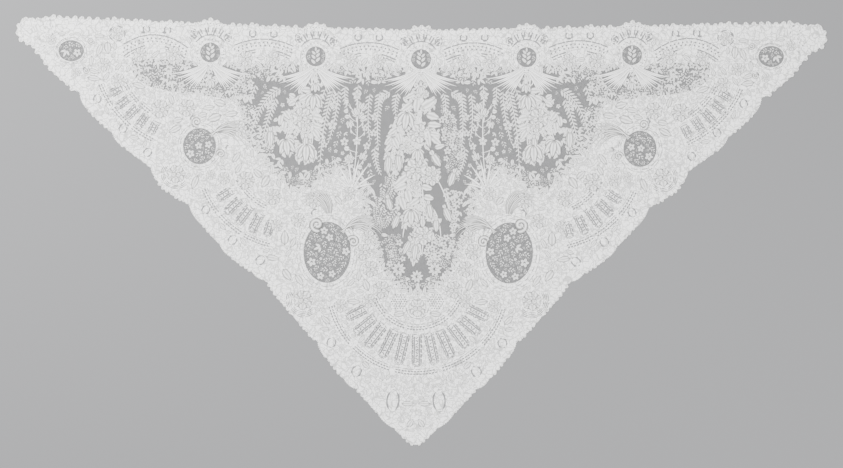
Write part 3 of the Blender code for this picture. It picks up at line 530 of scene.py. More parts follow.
def thread_group():
    """Fine worked thread: a woven height and soft clouds of tone."""
    found = bpy.data.node_groups.get("worked_thread")
    if found:
        return found
    group, start, end = shader_group("worked_thread", (("Pitch", 1100.0), ("Cloud size", 55.0)),
                                     ("Height", "Tone"))
    scaled = vectors(group, "SCALE", start["Position"], scale=start["Pitch"])
    split = wired(group, "ShaderNodeSeparateXYZ", {0: scaled}).outputs
    warp, weft = (maths(group, "SINE", maths(group, "MULTIPLY", split[axis], math.tau), None) for axis in "XY")
    group.links.new(maths(group, "MULTIPLY", warp, weft), end.inputs["Height"])
    clouds = wired(group, "ShaderNodeTexNoise", {
        "Vector": start["Position"], "Scale": start["Cloud size"], "Detail": 4.0, "Roughness": 0.62})
    group.links.new(clouds.outputs["Fac"], end.inputs["Tone"])
    return group


def honeycomb_group():
    """Six-sided meshes: how far a place is from the nearest thread of the net."""
    group, start, end = shader_group("honeycomb", (("Mesh width", 0.002),), ("Distance",))
    step = (1.0, ROOT_3, 1.0)
    half = (0.5, ROOT_3 / 2, 0.5)
    per = maths(group, "DIVIDE", 1.0, start["Mesh width"])
    scaled = vectors(group, "SCALE", start["Position"], scale=per)
    # Moved far off, so that no place is on the axes, where the remainder turns round
    scaled = vectors(group, "ADD", scaled, (2000.0, 2000.0 * ROOT_3, 0.0))
    grids = []
    for grid in (scaled, vectors(group, "ADD", scaled, half)):
        local = vectors(group, "SUBTRACT", vectors(group, "MODULO", grid, step), half)
        grids.append(vectors(group, "MULTIPLY", local, (1.0, 1.0, 0.0)))
    nearer = maths(group, "LESS_THAN", *(vectors(group, "LENGTH", grid, out=1) for grid in grids))
    pick = wired(group, "ShaderNodeMix", {0: nearer, 4: grids[1], 5: grids[0]}, data_type="VECTOR")
    local = vectors(group, "ABSOLUTE", pick.outputs[1])
    across = wired(group, "ShaderNodeSeparateXYZ", {0: local}).outputs["X"]
    slant = vectors(group, "DOT_PRODUCT", local, (0.5, ROOT_3 / 2, 0.0), out=1)
    gap = maths(group, "SUBTRACT", 0.5, maths(group, "MAXIMUM", across, slant))
    group.links.new(maths(group, "MULTIPLY", gap, start["Mesh width"]), end.inputs["Distance"])
    return group


def drawing_group():
    """Fine open lines and dots worked into the dense cloth: how open the cloth is at a place."""
    group, start, end = shader_group("fine_drawing", (("Cells per metre", 62.0), ("Dots per metre", 170.0)),
                                     ("Open",))
    level = (1.0, 1.0, 0.0)
    bend = wired(group, "ShaderNodeTexNoise", {"Vector": start["Position"], "Scale": 38.0, "Detail": 1.0})
    shifted = vectors(group, "SUBTRACT", bend.outputs["Color"], (0.5, 0.5, 0.5))
    shifted = vectors(group, "MULTIPLY", shifted, (0.03, 0.03, 0.0))
    bent = vectors(group, "MULTIPLY", vectors(group, "ADD", start["Position"], shifted), level)
    cells = wired(group, "ShaderNodeTexVoronoi", {"Vector": bent, "Scale": start["Cells per metre"]},
                  feature="DISTANCE_TO_EDGE")
    line = wired(group, "ShaderNodeMapRange", {
        "Value": cells.outputs["Distance"], "From Min": 0.09, "From Max": 0.03})
    dots = wired(group, "ShaderNodeTexVoronoi", {
        "Vector": vectors(group, "MULTIPLY", start["Position"], level), "Scale": start["Dots per metre"],
        "Randomness": 0.45})
    dot = wired(group, "ShaderNodeMapRange", {
        "Value": dots.outputs["Distance"], "From Min": 0.34, "From Max": 0.22})
    drawn = maths(group, "MAXIMUM", maths(group, "MULTIPLY", line.outputs[0], 0.5),
                  maths(group, "MULTIPLY", dot.outputs[0], 0.42))
    group.links.new(drawn, end.inputs["Open"])
    return group


def set_shader(shader, values):
    for name, value in values.items():
        shader.inputs[name].default_value = value


def base_material(name, roughness):
    """A matt thread material, with its shader and the place on the object that patterns are read from."""
    material = bpy.data.materials.new(name)
    material.use_nodes = True
    tree = material.node_tree
    shader = tree.nodes["Principled BSDF"]
    set_shader(shader, {"Roughness": roughness, "Specular IOR Level": 0.25, "Sheen Weight": 0.15,
                        "Sheen Roughness": 0.5})
    position = wired(tree, "ShaderNodeTexCoord").outputs["Object"]
    return material, tree, shader, position


def toned(tree, fac, colour, stops, shares):
    """A colour that runs between a darker and a lighter share of itself."""
    ramp = wired(tree, "ShaderNodeValToRGB", {"Fac": fac})
    for element, stop, share in zip(ramp.color_ramp.elements, stops, shares):
        element.position = stop
        element.color = [min(1.0, c * share) for c in colour] + [1.0]
    return ramp.outputs["Color"]


def bumped(tree, shader, height, strength):
    bump = wired(tree, "ShaderNodeBump", {"Strength": strength, "Distance": 0.0002, "Height": height})
    tree.links.new(bump.outputs["Normal"], shader.inputs["Normal"])


def cloth_material(name, colour, line, marked, pitch, cloud):
    """Worked thread in one colour, with painted shade where it is marked: at the rims of leaves and petals, and in
    the dense cloth's open lines and dots.
    """
    material, tree, shader, position = base_material(name, 0.86)
    thread = wired(tree, "ShaderNodeGroup", node_tree=thread_group())
    tree.links.new(position, thread.inputs["Position"])
    set_shader(thread, {"Pitch": pitch, "Cloud size": cloud})
    out = toned(tree, thread.outputs["Tone"], colour, (0.30, 0.62), (0.90, 1.03))
    # The line colour is mixed in here as painted shade, by the rim marks or by the dense cloth's pattern of
    # openings.
    if marked:
        if marked == "rim":
            rim = wired(tree, "ShaderNodeAttribute", attribute_name="rim")
            sharp = maths(tree, "POWER", rim.outputs["Fac"], 0.9)
        else:
            drawing = wired(tree, "ShaderNodeGroup", node_tree=drawing_group())
            tree.links.new(position, drawing.inputs["Position"])
            sharp = drawing.outputs["Open"]
        out = wired(tree, "ShaderNodeMix", {0: sharp, 6: out, 7: list(line) + [1.0]},
                    data_type="RGBA").outputs[2]
    tree.links.new(out, shader.inputs["Base Color"])
    bumped(tree, shader, thread.outputs["Height"], 0.35)
    return material


def net_material(sizes, colours):
    """Open six-sided net of fine thread."""
    material, tree, shader, position = base_material("net_thread", 0.85)
    comb = wired(tree, "ShaderNodeGroup", node_tree=honeycomb_group())
    tree.links.new(position, comb.inputs["Position"])
    comb.inputs["Mesh width"].default_value = sizes.net_mesh
    cover = maths(tree, "LESS_THAN", comb.outputs["Distance"], sizes.net_thread / 2)
    tree.links.new(cover, shader.inputs["Alpha"])
    thread = wired(tree, "ShaderNodeGroup", node_tree=thread_group())
    tree.links.new(position, thread.inputs["Position"])
    # The thread is toned from the net colour, a grey that paints the shade under the fine net.
    tone = toned(tree, thread.outputs["Tone"], colours.net, (0.3, 0.7), (0.88, 1.05))
    tree.links.new(tone, shader.inputs["Base Color"])
    bumped(tree, shader, comb.outputs["Distance"], 0.3)
    return material


def finish_named(name):
    """A shared material, made the first time that it is asked for."""
    found = bpy.data.materials.get(name)
    if found:
        return found
    scene = bpy.context.scene
    colours = scene.shawl_colours
    if name == "net_thread":
        return net_material(scene.shawl_sizes, colours)
    if name == "dense_cloth":
        # The dense cloth's pattern of open lines and dots is real; its colour is painted shade, the shadow seen
        # through the openings.
        return cloth_material(name, colours.cloth, colours.line, "drawing", 1100.0, 60.0)
    if name == "outline_thread":
        return cloth_material(name, colours.cloth, colours.line, "", 1500.0, 90.0)
    # The raised motifs' cloth, with painted shade at the rims of its leaves and petals.
    return cloth_material(name, colours.cloth, colours.line, "rim", 1300.0, 90.0)


# Which nodes are dense cloth, net and applied motifs
NET_NODES = [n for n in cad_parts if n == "net_ground" or n.endswith("_net") or "_net_" in n]
APPLIED_NODES = [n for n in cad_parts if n.split("_")[0] in ("bouquet", "garland", "palmette", "plume")]
DENSE_NODES = [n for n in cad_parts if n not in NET_NODES and n not in APPLIED_NODES]


# A slender motif is cut from a strip of cloth, of which it takes at least this share
LEAST_SHARE = 0.5


def declare_sheet(piece, node, loops):
    """One laid sheet of cloth that stands for its node; the size that it is cut to is worked out but not used."""
    low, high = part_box(node)
    area = (abs(area_of(loops[0])) - sum(abs(area_of(loop)) for loop in loops[1:])) * CM * CM
    width = high[0] - low[0]
    length = high[1] - low[1]
    if area < LEAST_SHARE * width * length:
        width = area / LEAST_SHARE / length
    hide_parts(node)
    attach(piece, "root")


# Dark cuts in the dense cloth, on the chart


def dashes(line, width, dash, gap):
    """Short cuts along a line of points."""
    out = []
    lengths = [0.0]
    for a, b in zip(line, line[1:]):
        lengths.append(lengths[-1] + math.hypot(b[0] - a[0], b[1] - a[1]))
    at = 0.0
    while at + dash <= lengths[-1]:
        ends = []
        for s in (at, at + dash):
            k = next(i for i in range(1, len(lengths)) if lengths[i] >= s - 1e-9)
            share = (s - lengths[k - 1]) / (lengths[k] - lengths[k - 1])
            ends.append(blend(line[k - 1], line[k], share))
        out.append(stroke(ends, width))
        at += dash + gap
    return out


# Fans: centre u, v, window radius, first and last window in degrees, windows, window length and width,
# inner and outer band radius, as in the part
FANS = (
    (72.0, 59.0, 29.6, -30.0, -63.0, 5, 4.4, 1.7, 26.0, 33.3),
    (40.9, 25.3, 25.5, -33.0, -74.0, 5, 5.6, 2.0, 19.6, 30.8),
    (0.0, -16.6, 21.5, -153.5, -26.5, 11, 8.6, 2.4, 14.6, 28.9),
)

# Rings with a window of net: u, v, half width and half height of the window, width of the ring
RINGS = (
    (112.2, 56.9, 4.1, 3.4, 0.9),
    (70.6, 26.8, 5.3, 5.8, 1.7),
    (29.2, -6.9, 7.6, 9.8, 2.2),
)

# Ovals near the edge with a cut on each side: u, v, half width, half height, turn
OVALS = (
    (103.6, 41.6, 1.0, 1.5, 20),
    (95.2, 32.2, 1.0, 1.5, 30),
    (87.2, 24.6, 1.0, 1.5, 40),
    (68.3, 6.4, 1.0, 1.5, 30),
    (59.6, -3.2, 1.1, 1.6, 35),
    (50.6, -9.6, 1.1, 1.6, 45),
    (27.4, -35.8, 1.2, 1.6, 20),
    (19.2, -45.0, 1.3, 1.9, 25),
    (7.4, -54.4, 1.7, 3.6, 4),
)

# Rosettes with fine arcs on their outer side: u, v, radius, direction of the arcs, arcs
ROSETTES = (
    (97.6, 62.6, 2.1, 90, 0),
    (78.0, 17.8, 3.0, -50, 3),
    (36.6, -22.2, 3.2, -50, 4),
    (0.0, -24.6, 2.9, -90, 1),
)

# Round scrolls that lie over the corners of the rings: u, v, radius, turn of the spiral's start
SCROLLS = (
    (32.6, 2.0, 3.1, 250),
    (20.9, -3.4, 2.5, 20),
    (105.9, 60.2, 1.4, 200),
    (107.4, 50.6, 1.3, 120),
    (71.6, 34.6, 2.1, 250),
    (63.8, 24.4, 1.8, 0),
)


def bay_arc(centre, drop, reach, start=-1.0, stop=1.0, points=9, sag=2.3):
    """An arc under the top edge of a bay, sinking towards both its ends."""
    line = []
    for i in range(points):
        t = start + (stop - start) * i / (points - 1)
        line.append((centre + reach * t, top_line(centre) - drop - sag * t * t))
    return line


def bay_cuts(centre, broad=1.0, sag=2.3):
    """The double dashed arc, the rows of dots and the broken inner arc of one bay of the top edge."""
    cuts = dashes(bay_arc(centre, 3.7, 9.7 * broad, sag=sag), 0.19, 2.6, 0.22)
    cuts += dashes(bay_arc(centre, 4.85, 9.4 * broad, sag=sag), 0.25, 0.5, 0.85)
    cuts += dashes(bay_arc(centre, 5.8, 9.2 * broad, sag=sag), 0.25, 0.5, 0.95)
    for start, stop in ((-1.0, -0.27), (0.27, 1.0)):
        cuts += dashes(bay_arc(centre, 7.0, 8.9 * broad, start, stop, sag=sag), 0.2, 2.4, 0.2)
        cuts += dashes(bay_arc(centre, 7.75, 8.5 * broad, start, stop, sag=sag), 0.16, 1.4, 0.4)
    for side in (-1, 1):
        u = centre + side * 11.3 * broad
        v = top_line(centre) - 3.3
        cuts += ring_dashes(u, v, 1.05, 1.4, 0.2, 5, 0.66)
        for shift in (-0.4, 0.15, 0.7):
            cuts.append(stroke([(u - 0.5, v + shift - 0.25), (u + 0.45, v + shift + 0.1)], 0.17))
        cuts += ring_dashes(centre + side * 3.4, top_line(centre) - 2.0, 0.95, 1.1, 0.3, 1, 1.0, 0.0, 228, 312)
    return cuts


def ring_dashes(u, v, half_u, half_v, width, count, share, turn=0.0, start=0.0, stop=360.0):
    """Cuts set round an ellipse."""
    out = []
    step = (stop - start) / count
    for i in range(count):
        first = start + step * (i + (1 - share) / 2)
        line = arc(0.0, 0.0, half_u, half_v, first, first + step * share, 3 if step * share < 50 else 5)
        a = math.radians(turn)
        out.append(stroke([(u + p * math.cos(a) - q * math.sin(a), v + p * math.sin(a) + q * math.cos(a))
                           for p, q in line], width))
    return out


def medallion_cuts(middle):
    """Double rays in the crown, the strong arc above the ring, and the ring's own fine circles."""
    v = top_line(middle) - MEDALLION_DROP
    cuts = ring_dashes(middle, v, 5.7, 5.7, 0.24, 3, 0.95, 0.0, 34, 146)
    cuts += ring_dashes(middle, v, 4.3, 4.3, 0.17, 24, 0.36)
    cuts += ring_dashes(middle, v, 4.95, 4.95, 0.1, 7, 0.8, 0.0, 160, 380)
    for ray in range(6):
        for apart in (-3.4, 3.4):
            turn = 45 + 18 * ray + apart
            cuts.append(stroke([polar(middle, v, 6.5, turn), polar(middle, v, 8.1, turn)], 0.19))
    for i in range(9):
        t = i / 8 * 2 - 1
        u = middle + t * (CROWN_HALF - 0.5)
        rise = top_line(u) + 0.9 * (1 - abs(t) ** 2.2) - 0.35
        cuts.append(stroke([(u - 0.2, rise), (u + 0.2, rise)], 0.13))
    return cuts


def fan_cuts(u, v, radius, first, last, windows, length, width, inner, outer):
    """Frames and ladders of the drawn-thread windows, and the dashed bands above and below them."""
    cuts = []
    step = (last - first) / (windows - 1)
    for i in range(windows):
        t = i / (windows - 1)
        reach = length * (0.68 + 0.32 * math.sin(math.pi * t))
        turn = first + (last - first) * t

        def at(along, across):
            x, y = polar(u, v, radius + along, turn)
            return polar(x, y, across, turn + 90)

        for grow, thin, parts in ((0.78, 0.13, 5), (1.2, 0.1, 4)):
            side = width * 0.34 + grow * 0.62
            ends = reach / 2 + grow * 0.8
            frame_line = [at(-ends, -side), at(ends - side * 0.5, -side), at(ends, -side * 0.55),
                          at(ends, side * 0.55), at(ends - side * 0.5, side), at(-ends, side)]
            if parts == 5:
                frame_line = [at(-ends, 0.0)] + frame_line + [at(-ends, 0.0)]
            cuts += dashes(frame_line, thin, 1.25, 0.3)
        rungs = max(3, int(reach / 0.95))
        for k in range(rungs):
            along = -reach / 2 + reach * (k + 0.5) / rungs
            lean = 0.24 if k % 2 else -0.24
            cuts.append(stroke([at(along - lean, -width * 0.16), at(along + lean, width * 0.16)], 0.17))
    small = windows < 6
    for r, before, after in ((inner, 0.6, -0.7 if small else 0.6), (outer, 1.0, 0.45 if small else 1.0)):
        start = first - step * before
        stop = last + step * after
        groups = 3 if small else 5
        for g in range(groups):
            a = start + (stop - start) * (g + 0.05) / groups
            b = start + (stop - start) * (g + 0.95) / groups
            for shift in (-0.42, 0.42):
                line = arc(u, v, r + shift, r + shift, a, b, 7)
                cuts += dashes(line, 0.2, 0.7, 0.3)
            line = arc(u, v, r - 1.2, r - 1.2, a, b, 7)
            cuts += dashes(line, 0.09, 1.6, 0.5)
    return cuts


def rosette_cuts(u, v, radius, turn, arcs):
    cuts = []
    for i in range(arcs):
        r = radius * 1.22 + 0.52 * i
        cuts += ring_dashes(u, v, r, r, 0.14, 5, 0.84, 0.0, turn - 95 + 6 * i, turn + 95 - 6 * i)
    return cuts


def spiral(u, v, radius, turn, turns=1.6, points=16):
    line = []
    for i in range(points):
        t = i / (points - 1)
        line.append(polar(u, v, radius * (1.0 - 0.78 * t), turn + 360.0 * turns * t))
    return line


def ring_cuts(u, v, half_u, half_v, width):
    cuts = []
    for share, thin, dash in ((0.55, 0.1, 0.7), (1.0, 0.13, 0.82)):
        a = half_u + width * share
        b = half_v + width * share
        count = max(8, int((a + b) / 1.0))
        cuts += ring_dashes(u, v, a, b, thin, count, dash)
    return cuts


# Honeycomb patches beside the bottom rose
HONEYCOMB_U = 5.9
HONEYCOMB_V = -22.6
HONEYCOMB_R = 2.5

# Middle of the round lobe at the shawl's far tip, which two dotted arcs go round
TIP_LOBE_U = 124.0
TIP_LOBE_V = 63.4


def right_hand_cuts():
    """Thin cuts of the right-hand half, to be repeated on the left."""
    cuts = []
    for bay in BAYS:
        cuts += bay_cuts(*bay)
    for index in (3, 4):
        cuts += medallion_cuts((index - 2) * BAY)
    for fan in FANS[:2]:
        cuts += fan_cuts(*fan)
    for ring in RINGS:
        cuts += ring_cuts(*ring)
    for row in ROSETTES[:3]:
        cuts += rosette_cuts(*row)
    for row in range(-3, 4):
        for column in range(-3, 4):
            p = column * 0.82 + 0.41 * (row % 2)
            q = row * 0.72
            if math.hypot(p, q) < HONEYCOMB_R:
                cuts.append(arc(HONEYCOMB_U + p, HONEYCOMB_V + q, 0.24, 0.24, 0, 300, 6))
    u, v, radius, _, _ = ROSETTES[0]
    cuts += ring_dashes(u, v, radius * 1.24, radius * 1.16, 0.24, 5, 0.66)
    for u, v, half_u, half_v, turn in OVALS:
        cuts += ring_dashes(u, v, half_u, half_v, 0.13, 2, 0.22, turn)
    for radius in (3.4, 5.9):
        cuts += ring_dashes(TIP_LOBE_U, TIP_LOBE_V, radius, radius, 0.16, 6, 0.35, 0.0, 110, 250)
    return cuts


def dense_cuts():
    """Every thin cut in the dense cloth, on both hands."""
    right = right_hand_cuts()
    cuts = right + [flipped(cut) for cut in right]
    cuts += medallion_cuts(0.0) + fan_cuts(*FANS[2]) + rosette_cuts(*ROSETTES[3])
    return [[place(*p) for p in cut] for cut in cuts]


def overlaps_box(loop, low, high):
    xs = [p[0] for p in loop]
    ys = [p[1] for p in loop]
    return max(xs) > low[0] and min(xs) < high[0] and max(ys) > low[1] and min(ys) < high[1]


class SHAWL_OT_dense_cloth(bpy.types.Operator):
    """Cut the dense cloth of the border, its rings and fans, one sheet for each section"""
    bl_idname = "shawl.dense_cloth"
    bl_label = "Dense cloth"

    def execute(self, context):
        sizes = context.scene.shawl_sizes
        cuts = dense_cuts()
        for node in DENSE_NODES:
            loops = node_loops(node)
            low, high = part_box(node)
            mine = [cut for cut in cuts
                    if overlaps_box(cut, (low[0] / CM, low[1] / CM), (high[0] / CM, high[1] / CM))]
            loops = [rounded(loop) for loop in loops]
            piece = cut_sheet("cloth_" + node, loops[0], loops[1:] + mine, sizes.cloth_low,
                              sizes.cloth_thick, finish_named("dense_cloth"))
            declare_sheet(piece, node, loops)
        return {"FINISHED"}


class SHAWL_OT_net(bpy.types.Operator):
    """Lay the net of the field, the rings and the medallions"""
    bl_idname = "shawl.net"
    bl_label = "Net"

    def execute(self, context):
        sizes = context.scene.shawl_sizes
        for node in NET_NODES:
            loops = [rounded(loop) for loop in node_loops(node)]
            piece = cut_sheet("mesh_" + node, loops[0], [], sizes.net_low, sizes.net_thick,
                              finish_named("net_thread"))
            declare_sheet(piece, node, loops[:1])
        return {"FINISHED"}


# Flowers and leaves on the chart. Each adds rows: kind, u, v, turn, length, width, rise, height

ON_NET = 0.06
ON_CLOTH = 0.114
RISE = 0.05
PLY = 0.022


def leaf(rows, u, v, length, width, turn, height=ON_NET, rise=RISE, kind="leaf"):
    rows.append((kind, u, v, turn, length, width, rise, height))


def rose(rows, u, v, radius, height=ON_NET, petals=7, turn=20.0):
    """Two rings of petals round a button, each petal over the one before."""
    for i in range(petals):
        a = turn + 360.0 * i / petals
        x, y = polar(u, v, radius * 0.30, a)
        leaf(rows, x, y, radius * 0.72, radius * 0.98, a, height + PLY * (i % 3), PLY, "petal")
    for i in range(5):
        a = turn + 36.0 + 72.0 * i
        x, y = polar(u, v, radius * 0.02, a)
        leaf(rows, x, y, radius * 0.52, radius * 0.6, a, height + PLY * (3 + i % 3), PLY, "petal")
    leaf(rows, u, v, radius * 0.34, radius * 0.34, 0.0, height + PLY * 6, PLY, "button")


def aster(rows, u, v, radius, height=ON_NET, petals=9, turn=10.0):
    """Narrow petals round a button."""
    for i in range(petals):
        a = turn + 360.0 * i / petals
        x, y = polar(u, v, radius * 0.12, a)
        leaf(rows, x, y, radius * 0.88, radius * 4.2 / petals, a, height + PLY * (i % 2), PLY, "petal")
    leaf(rows, u, v, radius * 0.34, radius * 0.34, 0.0, height + PLY * 2, PLY, "button")


def star(rows, u, v, radius, height=ON_NET, turn=18.0):
    """A small flower of five round petals."""
    for i in range(5):
        x, y = polar(u, v, radius * 0.12, turn + 72.0 * i)
        leaf(rows, x, y, radius * 0.88, radius * 0.74, turn + 72.0 * i, height + PLY * (i % 2), PLY, "petal")
    leaf(rows, u, v, radius * 0.36, radius * 0.36, 0.0, height + PLY * 2, PLY, "button")


def tulip(rows, u, v, radius, turn, height=ON_NET):
    """A cup of petals seen from the side, opening along its turn."""
    x, y = polar(u, v, -radius * 0.95, turn)
    for i, (spread, reach, width) in enumerate(((58, 1.15, 0.62), (-58, 1.15, 0.62), (27, 1.85, 0.86),
                                                (-27, 1.85, 0.86), (0, 1.95, 0.86))):
        leaf(rows, x, y, radius * reach, radius * width, turn + spread, height + PLY * i, PLY, "petal")


def bud(rows, u, v, length, width, turn, height=ON_NET):
    """A closed bud: one long petal between two that hold it."""
    for i, (spread, reach, share) in enumerate(((9, 0.86, 0.62), (-9, 0.86, 0.62), (0, 1.0, 0.62))):
        leaf(rows, u, v, length * reach, width * share, turn + spread, height + PLY * i, PLY, "petal")
    x, y = polar(u, v, -0.25 * width, turn)
    leaf(rows, x, y, width * 0.5, width * 0.5, turn, height + PLY * 2, PLY, "button")


def curve_points(ends, count):
    """Points on a smooth curve through a start, a bend and an end."""
    a, b, c = ends
    out = []
    for i in range(count):
        t = i / (count - 1)
        out.append(tuple((1 - t) ** 2 * a[k] + 2 * t * (1 - t) * b[k] + t * t * c[k] for k in (0, 1)))
    return out


def frond(rows, ends, pairs, size, height=ON_NET, spread=48.0, taper=0.45, share=0.4):
    """Leaves in pairs along a bent stem, smaller towards the tip, and one at the end."""
    path = curve_points(ends, pairs + 1)
    for i in range(pairs):
        here = path[i]
        after = path[i + 1]
        turn = math.degrees(math.atan2(after[1] - here[1], after[0] - here[0]))
        reach = size * (1.0 - taper * i / pairs)
        for side in (-1, 1):
            at = blend(here, after, 0.5 if side > 0 else 0.1)
            leaf(rows, at[0], at[1], reach, reach * share, turn + side * spread, height)
    end = path[-1]
    leaf(rows, end[0], end[1], size * (1.0 - taper), size * share * 0.7, turn, height)


# The centre bouquet. Columns: kind, u, v, length or radius, width, turn
BOUQUET_CENTRE = (
    ("aster", -6.2, -12.2, 2.2, 0, 0),
    ("aster", 5.4, -12.2, 2.2, 0, 0),
    ("aster", -0.3, -14.6, 2.0, 0, 0),
    ("leaf", -1.5, 44.3, 3.9, 1.7, 207),
    ("leaf", -2.4, 41.3, 4.7, 2.1, 217),
    ("leaf", -0.9, 43.1, 5.1, 2.4, 263),
    ("leaf", 0.0, 39.3, 5.3, 2.9, 32),
    ("leaf", 1.6, 37.6, 4.5, 2.5, -18),
    ("leaf", 2.0, 34.3, 4.7, 2.1, -5),
    ("leaf", 2.8, 31.5, 3.8, 1.8, -12),
    ("leaf", 3.4, 30.5, 4.2, 2.1, -40),
    ("leaf", 1.6, 33.9, 7.1, 2.2, -78),
    ("leaf", -7.4, 33.1, 3.6, 1.8, 218),
    ("leaf", -9.0, 30.5, 3.6, 1.6, 232),
    ("leaf", -8.8, 30.5, 4.7, 2.0, -65),
    ("leaf", -8.9, 28.0, 3.4, 1.7, 231),
    ("leaf", -7.0, 32.1, 4.4, 1.7, -77),
    ("leaf", 4.5, 26.6, 3.6, 1.7, 16),
    ("leaf", -2.9, 18.6, 6.5, 2.4, 219),
    ("leaf", -3.5, 15.1, 4.5, 2.4, 204),
    ("leaf", -4.1, 13.7, 4.7, 2.5, -75),
    ("leaf", 0.4, 14.5, 3.8, 2.1, -15),
    ("leaf", 1.2, 11.2, 3.5, 2.1, -14),
    ("leaf", -6.0, 11.4, 4.9, 2.3, -73),
    ("leaf", 0.4, 10.6, 4.0, 2.1, 215),
    ("bud", -9.9, 24.7, 7.1, 2.4, -93),
    ("bud", -7.0, 25.1, 6.6, 2.4, -85),
    ("bud", 3.9, 25.1, 5.5, 3.2, -58),
    ("bud", 3.0, 9.2, 5.8, 2.4, -80),
    ("bud", 5.5, 4.1, 4.7, 2.4, -88),
    ("bud", -6.4, 5.5, 5.5, 2.2, 248),
    ("bud", -2.5, -2.7, 5.7, 2.1, 244),
    ("bud", -0.7, -3.7, 6.3, 2.4, 263),
    ("bud", 1.2, 4.3, 3.3, 2.6, -88),
    ("bud", 8.1, 7.9, 5.8, 2.4, -67),
    ("bud", -10.2, 11.0, 5.0, 2.4, -75),
    ("bud", 11.2, 19.4, 5.7, 2.6, 252),
    ("rose", 1.4, 43.9, 1.3, 0, 0),
    ("rose", -0.3, 31.3, 3.0, 0, 0),
    ("aster", -4.3, 27.0, 2.0, 0, 0),
    ("rose", -1.3, 19.8, 3.4, 0, 0),
    ("rose", 3.8, 18.6, 2.2, 0, 0),
    ("rose", -1.3, 15.1, 1.8, 0, 0),
    ("rose", 4.0, 17.1, 2.4, 0, 0),
    ("rose", 1.4, -1.5, 2.9, 0, 0),
    ("tulip", -4.7, 35.2, 2.9, 0, 262),
    ("tulip", -0.7, 24.1, 2.1, 0, 270),
    ("tulip", -2.5, 4.3, 2.6, 0, 270),
    ("star", 6.9, 35.6, 1.1, 0, 0),
    ("star", 7.7, 32.3, 1.1, 0, 0),
    ("star", 7.7, 29.8, 1.0, 0, 0),
    ("star", 9.4, 30.9, 1.0, 0, 0),
    ("star", 10.2, 29.2, 1.0, 0, 0),
)

# The bouquet on each side lobe, right hand. Columns as above
BOUQUET_SIDE = (
    ("leaf", 34.9, 45.2, 3.5, 2.0, 0),
    ("leaf", 36.1, 43.5, 3.3, 2.2, -29),
    ("leaf", 38.4, 40.3, 3.2, 1.4, -41),
    ("leaf", 34.7, 36.8, 3.3, 2.3, 194),
    ("leaf", 34.5, 34.1, 2.9, 2.0, 200),
    ("leaf", 34.5, 32.7, 3.8, 2.0, 235),
    ("leaf", 43.7, 38.6, 3.5, 2.0, 235),
    ("leaf", 44.5, 37.4, 3.7, 1.8, -81),
    ("leaf", 43.3, 35.4, 3.0, 2.0, -81),
    ("leaf", 45.5, 36.0, 1.8, 1.2, -34),
    ("leaf", 40.0, 42.6, 2.4, 1.7, 30),
    ("leaf", 40.0, 41.5, 2.6, 1.9, -30),
    ("leaf", 39.6, 41.6, 2.6, 1.8, 250),
    ("tulip", 34.5, 41.1, 2.6, 0, 275),
    ("tulip", 42.7, 26.6, 2.7, 0, 262),
    ("tulip", 36.5, 24.9, 2.9, 0, 272),
    ("rose", 37.8, 36.2, 3.1, 0, 0),
    ("rose", 37.0, 33.9, 2.0, 0, 0),
    ("bud", 48.0, 32.5, 6.3, 2.7, -90),
    ("bud", 36.5, 30.5, 4.7, 2.3, -85),
)

# Fern sprays and garlands on the net, right hand.
# Columns: start, bend, end, pairs of leaves, size of the first
FRONDS = (
    ((9.8, 44.6), (12.4, 43.6), (13.0, 41.1), 6, 2.2),
    ((7.3, 44.2), (8.6, 41.0), (7.9, 37.8), 8, 2.0),
    ((13.0, 44.6), (14.2, 36.0), (13.4, 27.0), 19, 2.1),
    ((16.2, 44.0), (17.4, 37.0), (16.0, 28.6), 15, 1.8),
    ((14.4, 27.0), (14.6, 22.0), (12.6, 18.6), 10, 1.8),
    ((28.0, 45.2), (31.2, 36.0), (31.9, 22.0), 23, 2.2),
    ((26.4, 44.8), (26.7, 37.0), (29.2, 29.0), 16, 1.9),
    ((30.4, 45.8), (32.8, 40.0), (32.8, 33.4), 11, 1.7),
    ((45.0, 45.6), (52.4, 41.4), (54.2, 29.6), 19, 2.4),
    ((46.4, 42.4), (48.8, 36.6), (50.6, 29.2), 14, 2.2),
    ((20.0, 46.8), (20.6, 43.0), (19.8, 39.4), 8, 1.9),
    ((24.2, 46.4), (24.6, 43.0), (23.6, 39.6), 8, 1.9),
    ((53.0, 46.6), (53.6, 44.0), (55.2, 41.8), 5, 2.0),
    ((60.0, 46.8), (60.2, 44.6), (59.0, 42.8), 4, 1.9),
)

# Small round flowers on the garlands and sprigs, right hand. Columns: u, v, radius
STARS = (
    (27.6, 40.3, 1.7), (28.2, 33.9, 1.8), (48.2, 40.1, 1.8), (30.6, 27.6, 1.2), (14.6, 36.6, 1.5),
    (14.9, 31.4, 1.3), (14.0, 24.4, 1.2),
)

SHAPES = {"rose": rose, "aster": aster, "star": star}


# Stems in the bouquets: start, bend and end
STEMS_CENTRE = (
    ((0.4, 44.0), (-3.0, 30.0), (0.6, 16.0)),
    ((0.6, 16.0), (2.4, 6.0), (1.2, -8.0)),
    ((-0.5, 24.0), (-6.5, 18.0), (-7.0, 6.0)),
    ((1.2, 22.0), (8.0, 16.0), (10.4, 4.0)),
    ((0.6, 12.0), (-4.5, 6.0), (-5.0, -2.0)),
    ((1.0, 10.0), (6.5, 8.0), (7.2, -2.0)),
)
STEMS_SIDE = (
    ((40.7, 33.5), (44.5, 31.5), (47.4, 32.4)),
    ((39.5, 36.5), (43.0, 33.0), (43.2, 26.6)),
    ((36.4, 37.0), (33.4, 33.0), (34.8, 26.6)),
    ((34.0, 33.6), (31.0, 31.0), (30.4, 28.2)),
)

